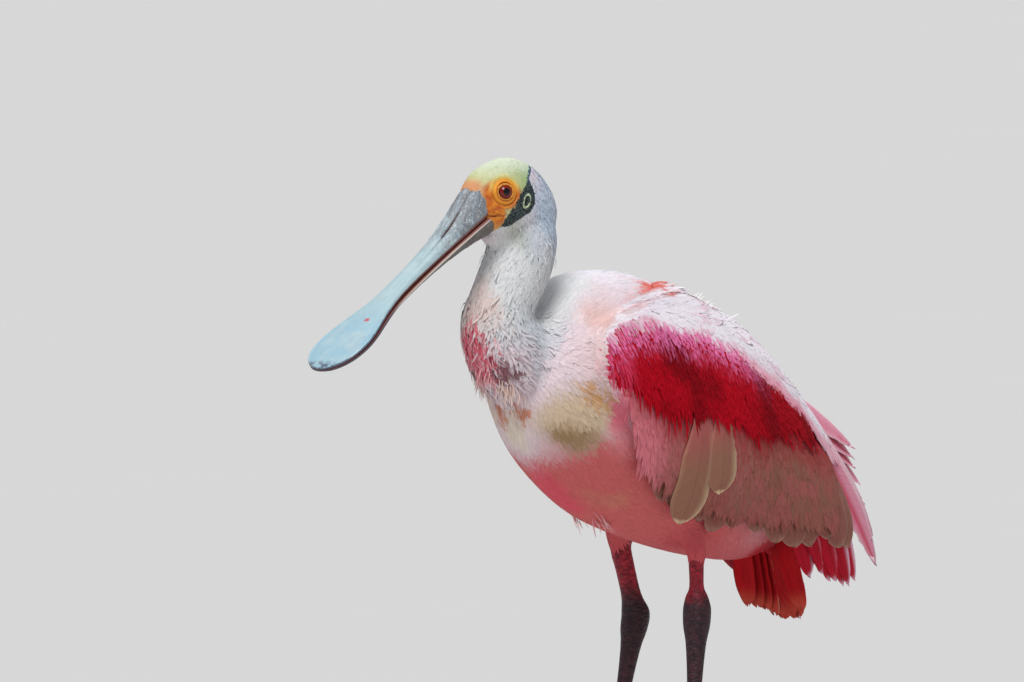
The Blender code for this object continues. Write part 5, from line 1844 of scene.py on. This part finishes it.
def skinLook():
    look = Look("skin_look")
    where = look.place(shift)
    x, y, z = look.parts(where)
    aside = x.size()
    mirrored = look.combined(aside, y, z)
    fine = look.noise(where, 900, 4, 0.6)
    medium = look.noise(where, 260, 4, 0.6)
    broad = look.noise(where, 90, 3, 0.5)
    # the bare head
    rear = look.step(y + (broad - 0.5) * 0.02, -0.150, -0.118)
    green = look.mix(rear, colour(206, 206, 152), colour(136, 176, 118))
    # the top of the crown is painted paler, a painted highlight; deeper green in random patches
    green = look.laid(
        green,
        (look.step(z + (broad - 0.5) * 0.008, 0.416, 0.429), colour(214, 224, 198)),
        (look.step(medium, 0.50, 0.72) * 0.35, colour(160, 176, 110)),
    )
    forehead = look.patch(mirrored, (0.004, -0.1660, 0.4125), (0.018, 0.0095, 0.0085), 0.8)
    green = look.mix(forehead * 0.85, green, colour(222, 142, 96))
    upper = look.patch(mirrored, (0.016, -0.1490, 0.4075), (0.018, 0.0175, 0.0130), 0.35)
    lower = look.patch(mirrored, (0.014, -0.1560, 0.3935), (0.018, 0.0120, 0.0150), 0.35)
    cheeks = upper.most(lower)
    orange = look.mix(look.step(medium, 0.40, 0.66), colour(226, 138, 44), colour(198, 96, 34))
    orange = look.laid(
        orange,
        (look.step(y + (broad - 0.5) * 0.006, -0.156, -0.164) * 0.8, colour(206, 84, 30)),
        (look.step(z, 0.391, 0.383), colour(214, 150, 82)),
    )
    head = look.mix(cheeks * look.step(medium + cheeks, 0.5, 0.8), green, orange)
    ring = look.attribute("ring")
    halo = look.step(ring + (fine - 0.5) * 1.4, 13.0, 10.4) * look.step(z, 0.408, 0.413)
    head = look.laid(
        head,
        (halo * 0.7, colour(226, 204, 110)),
        (look.step(ring + (fine - 0.5) * 1.4, 9.8, 8.8), colour(238, 158, 48)),
    )
    # a brown band in the groove below the eye: painted shade in the crease
    fold = look.step(ring + (fine - 0.5) * 0.8, 8.5, 8.9) * look.step(ring + (fine - 0.5) * 0.8, 9.8, 9.3)
    head = look.laid(
        head,
        (fold * look.step(z, 0.4105, 0.4060) * 0.75, colour(150, 78, 30)),
        (look.step(ring, 7.3, 6.2), colour(150, 58, 22)),
    )
    # a dark line along the gape: painted shade in its crease
    gapeLine = look.patch(mirrored, (0.014, -0.1545, 0.3930), (0.018, 0.0090, 0.0009), 0.8)
    head = look.mix(gapeLine * 0.8, head, colour(96, 46, 28))
    throat = look.patch(mirrored, (0.0, -0.1500, 0.3780), (0.020, 0.0200, 0.0090), 0.6)
    head = look.mix(throat * 0.85, head, colour(204, 170, 140))
    band = look.attribute("band") + (medium - 0.5) * 7.0 + (fine - 0.5) * 2.5
    dark = look.mix(look.step(fine, 0.42, 0.66), colour(20, 27, 32), colour(84, 98, 96))
    dark = look.mix(look.step(z, 0.412, 0.418), dark, colour(70, 92, 112))
    head = look.mix(look.step(band, 0.8, -0.5), head, dark)
    ear = look.attribute("ear") + (medium - 0.5) * 0.7
    rim = look.step(ear, 1.36, 1.18) * look.step(ear, 0.76, 0.94)
    # a pale rim round the ear, and its hollow painted near black: painted shade in the ear opening
    head = look.laid(
        head,
        (rim * look.step(medium, 0.36, 0.50), colour(196, 210, 172)),
        (look.step(ear, 0.66, 0.40) * look.step(fine, 0.62, 0.40), colour(36, 34, 26)),
    )
    # under the plumage
    tint = look.attribute("tint", "Color")
    both = look.mix(look.attribute("bare"), tint, head)
    # the legs
    red = look.mix(look.step(medium, 0.35, 0.65), colour(176, 30, 52), colour(126, 14, 32))
    dusk = look.mix(look.step(medium, 0.35, 0.70), colour(66, 34, 42), colour(40, 22, 30))
    low = look.step(z + (broad - 0.5) * 0.012, 0.140, 0.122)
    leg = look.mix(low, red, dusk)
    foot = look.mix(look.step(medium, 0.4, 0.7), colour(92, 52, 56), colour(52, 32, 38))
    leg = look.mix(look.step(z, 0.100, 0.030) * 0.8, leg, foot)
    sockets = {"Vector": look.stretch(where, (150, 150, 300)), "Scale": 1.0}
    scale = look.add("ShaderNodeTexVoronoi", {"feature": "DISTANCE_TO_EDGE"}, sockets).value("Distance")
    cells = look.step(scale, 0.0, 0.14)
    leg = look.mix(cells * 0.55 + 0.45, look.stretchTint(leg, 0.35), leg)
    legShare = look.step(z, 0.172, 0.168) * look.step((y - 0.006).size(), 0.016, 0.013)
    legShare = legShare * look.step((aside - form["legSpread"]).size(), 0.015, 0.012)
    legShare = legShare.most(look.step(z, 0.150, 0.146))
    both = look.mix(legShare, both, leg)
    height = (fine * 0.35 + medium * 0.65) * (1 - legShare) + cells * legShare
    normal = look.bump(height, 0.55, 0.0006)
    rough = 0.62 - legShare * 0.14
    return look.finish(both, rough, normal, Specular_IOR_Level=0.35)


def plumeLook():
    look = Look("plume_look")
    tint = look.attribute("tint", "Color")
    chance = look.attribute("chance")
    grain = look.noise(look.place(), 420, 3, 0.6)
    shade = 0.93 + chance * 0.10 + (grain - 0.5) * 0.12
    both = look.stretchTint(tint, shade)
    normal = look.bump(look.noise(look.place(), 1500, 2, 0.5), 0.25, 0.0002)
    return look.finish(both, 0.88, normal, Specular_IOR_Level=0.08, Sheen_Weight=0.03)


def vaneLook():
    look = Look("vane_look")
    tint = look.attribute("tint", "Color")
    barbs = look.attribute("barbs", "Vector")
    along, across, chance = look.parts(barbs)
    reach = along - across.size() * 1.1
    flow = look.combined(reach * 2.2, across * 0.16, chance)
    coarse = look.noise(flow, 0.32, 3, 0.6)
    fine = look.noise(flow, 1.4, 3, 0.7)
    shaft = look.step(across.size(), 0.75, 0.25)
    shade = 0.86 + (coarse - 0.5) * 0.42 + (fine - 0.5) * 0.30 + 0.14 - shaft * 0.10
    both = look.stretchTint(tint, shade)
    normal = look.bump(fine * 0.7 + coarse * 0.5 + shaft * 0.5, 0.45, 0.0004)
    return look.finish(both, 0.80, normal, Specular_IOR_Level=0.12, Sheen_Weight=0.02)


def billLook(name, upper):
    look = Look(name)
    where = look.place(shift)
    share, aside, brim = look.attribute("share"), look.attribute("aside"), look.attribute("brim")
    medium = look.noise(where, 240, 4, 0.6)
    fine = look.noise(where, 900, 4, 0.65)
    broad = look.noise(where, 60, 3, 0.5)
    lengthways = look.combined(share * 30, aside * 9.0, broad * 3)
    bark = look.noise(lengthways, 0.55, 5, 0.7, 0.8)
    cracks = look.noise(lengthways, 1.3, 4, 0.75, 1.2)
    base = look.mix(look.step(share, 0.02, 0.40), colour(148, 160, 172), colour(180, 206, 212))
    base = look.laid(
        base,
        (look.step(share, 0.55, 0.80), colour(160, 198, 214)),
        (look.step(broad, 0.45, 0.70) * 0.6, colour(196, 214, 218)),
    )
    basal = look.step(share, 0.46, 0.05)
    barky = look.step(bark + basal * 0.10, 0.50, 0.62) * (0.10 + basal * 0.45)
    base = look.laid(
        base,
        (barky, colour(112, 106, 106)),
        (look.step(cracks, 0.56, 0.62) * basal * 0.65, colour(88, 76, 74)),
        (look.step(cracks, 0.46, 0.38) * basal * 0.8, colour(214, 224, 226)),
        (look.step(fine, 0.50, 0.75) * 0.22, colour(208, 222, 224)),
    )
    spots = look.step(look.noise(where, 420, 2, 0.5), 0.66, 0.72) * (0.10 + basal * 0.5)
    base = look.mix(spots, base, colour(84, 66, 62))
    spoon = look.step(share, 0.52, 0.66)
    if upper:
        scar = look.patch(where, (0.006, -0.2620, 0.3260), (0.0034, 0.0024, 0.0030), 0.7)
        base = look.mix(scar, base, colour(206, 82, 88))
        spot = look.patch(where, (-0.020, -0.2930, 0.3000), (0.0016, 0.0016, 0.0030), 0.6)
        base = look.mix(spot, base, colour(110, 84, 70))
        # the nostril slits painted dark brown, a painted shade in the openings
        slit = look.step(look.attribute("slit"), 0.25, 0.7)
        base = look.mix(slit, base, colour(70, 30, 26))
        track = look.step(look.attribute("track"), 0.3, 0.9)
        base = look.mix(track * basal * 0.7, base, colour(86, 76, 76))
        edge = look.step(brim + (medium - 0.5) * 0.5, 1.5, 1.1) * (1 - spoon)
        base = look.mix(edge, base, colour(104, 42, 38))
        rim = look.step(brim + (medium - 0.5) * 1.2, 2.0, 1.4) * spoon
        base = look.mix(rim * 0.8, base, colour(52, 56, 80))
        tip = look.step(share, 0.955, 0.985) * look.step(medium, 0.40, 0.60)
        base = look.mix(tip * 0.8, base, colour(70, 66, 96))
    else:
        pale = look.step(brim, 1.9, 1.4) * look.step(share, 0.66, 0.56)
        base = look.laid(
            base,
            (look.step(share, 0.66, 0.56) * 0.85, colour(96, 84, 74)),
            (pale, colour(222, 210, 198)),
            (look.step(brim, 0.6, 0.3), colour(104, 42, 38)),
            (spoon * 0.9, colour(58, 62, 84)),
        )
    inside = look.step(aside, 2.0, 2.5)
    base = look.mix(inside, base, colour(150, 92, 84))
    height = bark * 0.6 + medium * 0.25 + fine * 0.15 + cracks * basal * 0.6
    normal = look.bump(height, 0.6, 0.0009)
    rough = 0.42 + (medium - 0.5) * 0.3
    return look.finish(base, rough, normal, Specular_IOR_Level=0.45)


def eyeLook(side):
    look = Look(f"eye_{nameOf(side)}_look")
    centre, way = eyePlace(side)
    where = look.place(centre)
    unitPlace = look.add("ShaderNodeVectorMath", {"operation": "NORMALIZE"}, {0: where}).value(0)
    product = look.add("ShaderNodeVectorMath", {"operation": "DOT_PRODUCT"}, {0: unitPlace, 1: way})
    facing = product.value("Value")
    turn = facing.maths("ARCCOSINE", facing)
    spoke = look.noise(look.stretch(where, (2200, 2200, 2200)), 1.0, 3, 0.6)
    iris = look.mix(look.step(spoke, 0.4, 0.65), colour(112, 8, 10), colour(150, 24, 18))
    iris = look.mix(look.step(turn, 0.66, 0.80), iris, colour(48, 3, 6))
    tint = look.mix(look.step(turn, 0.40, 0.36), iris, colour(4, 4, 5))
    tint = look.mix(look.step(turn, 0.84, 0.92), tint, colour(24, 10, 8))
    return look.finish(tint, 0.10, None, Specular_IOR_Level=0.4)


def lidLook():
    look = Look("lid_look")
    where = look.place(shift)
    medium = look.noise(where, 700, 4, 0.6)
    tint = look.mix(look.step(medium, 0.4, 0.65), colour(236, 160, 56), colour(204, 108, 38))
    return look.finish(tint, 0.5, look.bump(medium, 0.5, 0.0004), Specular_IOR_Level=0.4)


def clawLook():
    look = Look("claw_look")
    where = look.place()
    streak = look.noise(look.stretch(where, (300, 90, 300)), 1.0, 4, 0.6)
    tint = look.mix(look.step(streak, 0.35, 0.7), colour(34, 28, 30), colour(70, 58, 58))
    return look.finish(tint, 0.38, look.bump(streak, 0.3, 0.0003), Specular_IOR_Level=0.5)


def floorLook():
    look = Look("floor_look")
    grain = look.noise(look.place(), 3, 2, 0.5)
    tint = look.mix(grain, colour(207, 206, 204), colour(209, 208, 207))
    return look.finish(tint, 0.9, None, Specular_IOR_Level=0.2)


# putting it together

print("skin")
body = makeSkin()
shapeHead(body)
print("coat")
plumes = dress(body)
paintSkin(body)
print("wings and tail")
wings = {side: [wingTier(name, side) for name in tiers] + [creamPair(side)] for side in (1, -1)}
wingTops = {side: [wingPlumes(name, side) for name in overlay] for side in (1, -1)}
tailFeathers = makeTail()
print("head pieces")
jaws = [makeJaw("bill_upper_fine", 1), makeJaw("bill_lower_fine", -1)]
lids = makeLids()
eyes = {side: makeEye(side) for side in (1, -1)}
claws = {side: makeClaws(side) for side in (1, -1)}


def wear(piece, material, slotName, *nodes):
    piece.data.materials.clear()
    piece.data.materials.append(material)
    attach(piece, "root")
    if nodes:
        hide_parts(*nodes)


fleshNodes = ["torso", "head", "neck_upper", "neck_lower"]
for part in ("thigh", "shank", "tarsus", "foot"):
    fleshNodes += [f"{part}_left", f"{part}_right"]
wear(body, skinLook(), "bare_skin", *fleshNodes)
plumeMaterial, vaneMaterial = plumeLook(), vaneLook()
plumeSlots = {
    "loose": "white_plumage",
    "neck": "white_plumage",
    "shoulder": "wing_feathers",
    "mantle": "pink_plumage",
    "breast": "pink_plumage",
    "belly": "pink_plumage",
}
for piece in plumes:
    wear(piece, plumeMaterial, plumeSlots[piece.name.split("_")[0]])
for bySide, material in ((wings, vaneMaterial), (wingTops, plumeMaterial)):
    for side, pieces in bySide.items():
        for piece in pieces:
            wear(piece, material, "wing_feathers", f"wing_{nameOf(side)}")
wear(tailFeathers, vaneMaterial, "tail_feathers", "tail")
for piece, node in zip(jaws, ("bill_upper", "bill_lower")):
    wear(piece, billLook(f"{node}_look", node == "bill_upper"), "bill", node)
wear(lids, lidLook(), "bare_skin", "head")
for side in (1, -1):
    label = nameOf(side)
    wear(eyes[side], eyeLook(side), "eye", f"eye_{label}")
    clawNodes = [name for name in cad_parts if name.startswith("claw") and label in name]
    wear(claws[side], clawLook(), "claw", *clawNodes)


# floor, light and camera

stage = {
    "aim": Vector((-0.0746, 0.0034, 0.3022)),
    "toCamera": Vector((0.7421, -0.6682, 0.0523)),
    "distance": 12.0,
    "lens": 620.4,
    "sensor": 36.0,
    "clip": (0.5, 200.0),
    "floor": 60.0,
    "world": 0.37,
    "sky": (0.93, 0.95, 1.0, 1),
    "lights": (
        # name, the way towards it, its width in degrees, strength
        ("key", (0.28, -0.46, 0.88), 30, 2.25),
        ("rim", (-0.60, 0.60, 0.70), 30, 0.60),
    ),
}


def makeStage():
    bm = bmesh.new()
    bmesh.ops.create_grid(bm, x_segments=2, y_segments=2, size=stage["floor"])
    floor = fromBmesh("floor", bm)
    floor.data.materials.append(floorLook())
    world = bpy.data.worlds.new("studio")
    world.use_nodes = True
    sockets = world.node_tree.nodes["Background"].inputs
    sockets["Color"].default_value = stage["sky"]
    sockets["Strength"].default_value = stage["world"]
    bpy.context.scene.world = world
    for name, way, width, strength in stage["lights"]:
        light = bpy.data.lights.new(name, "SUN")
        light.angle, light.energy = math.radians(width), strength
        thing = bpy.data.objects.new(name, light)
        thing.location = stage["aim"] + Vector(way) * 3
        thing.rotation_euler = Vector(way).to_track_quat("Z", "Y").to_euler()
        bpy.context.scene.collection.objects.link(thing)
    lens = bpy.data.cameras.new("camera")
    lens.lens, lens.sensor_width = stage["lens"], stage["sensor"]
    lens.clip_start, lens.clip_end = stage["clip"]
    camera = bpy.data.objects.new("camera", lens)
    camera.location = stage["aim"] + stage["toCamera"] * stage["distance"]
    camera.rotation_euler = (-stage["toCamera"]).to_track_quat("-Z", "Y").to_euler()
    bpy.context.scene.collection.objects.link(camera)
    bpy.context.scene.camera = camera
    bpy.context.scene.view_settings.view_transform = "Standard"


makeStage()
print("done building")
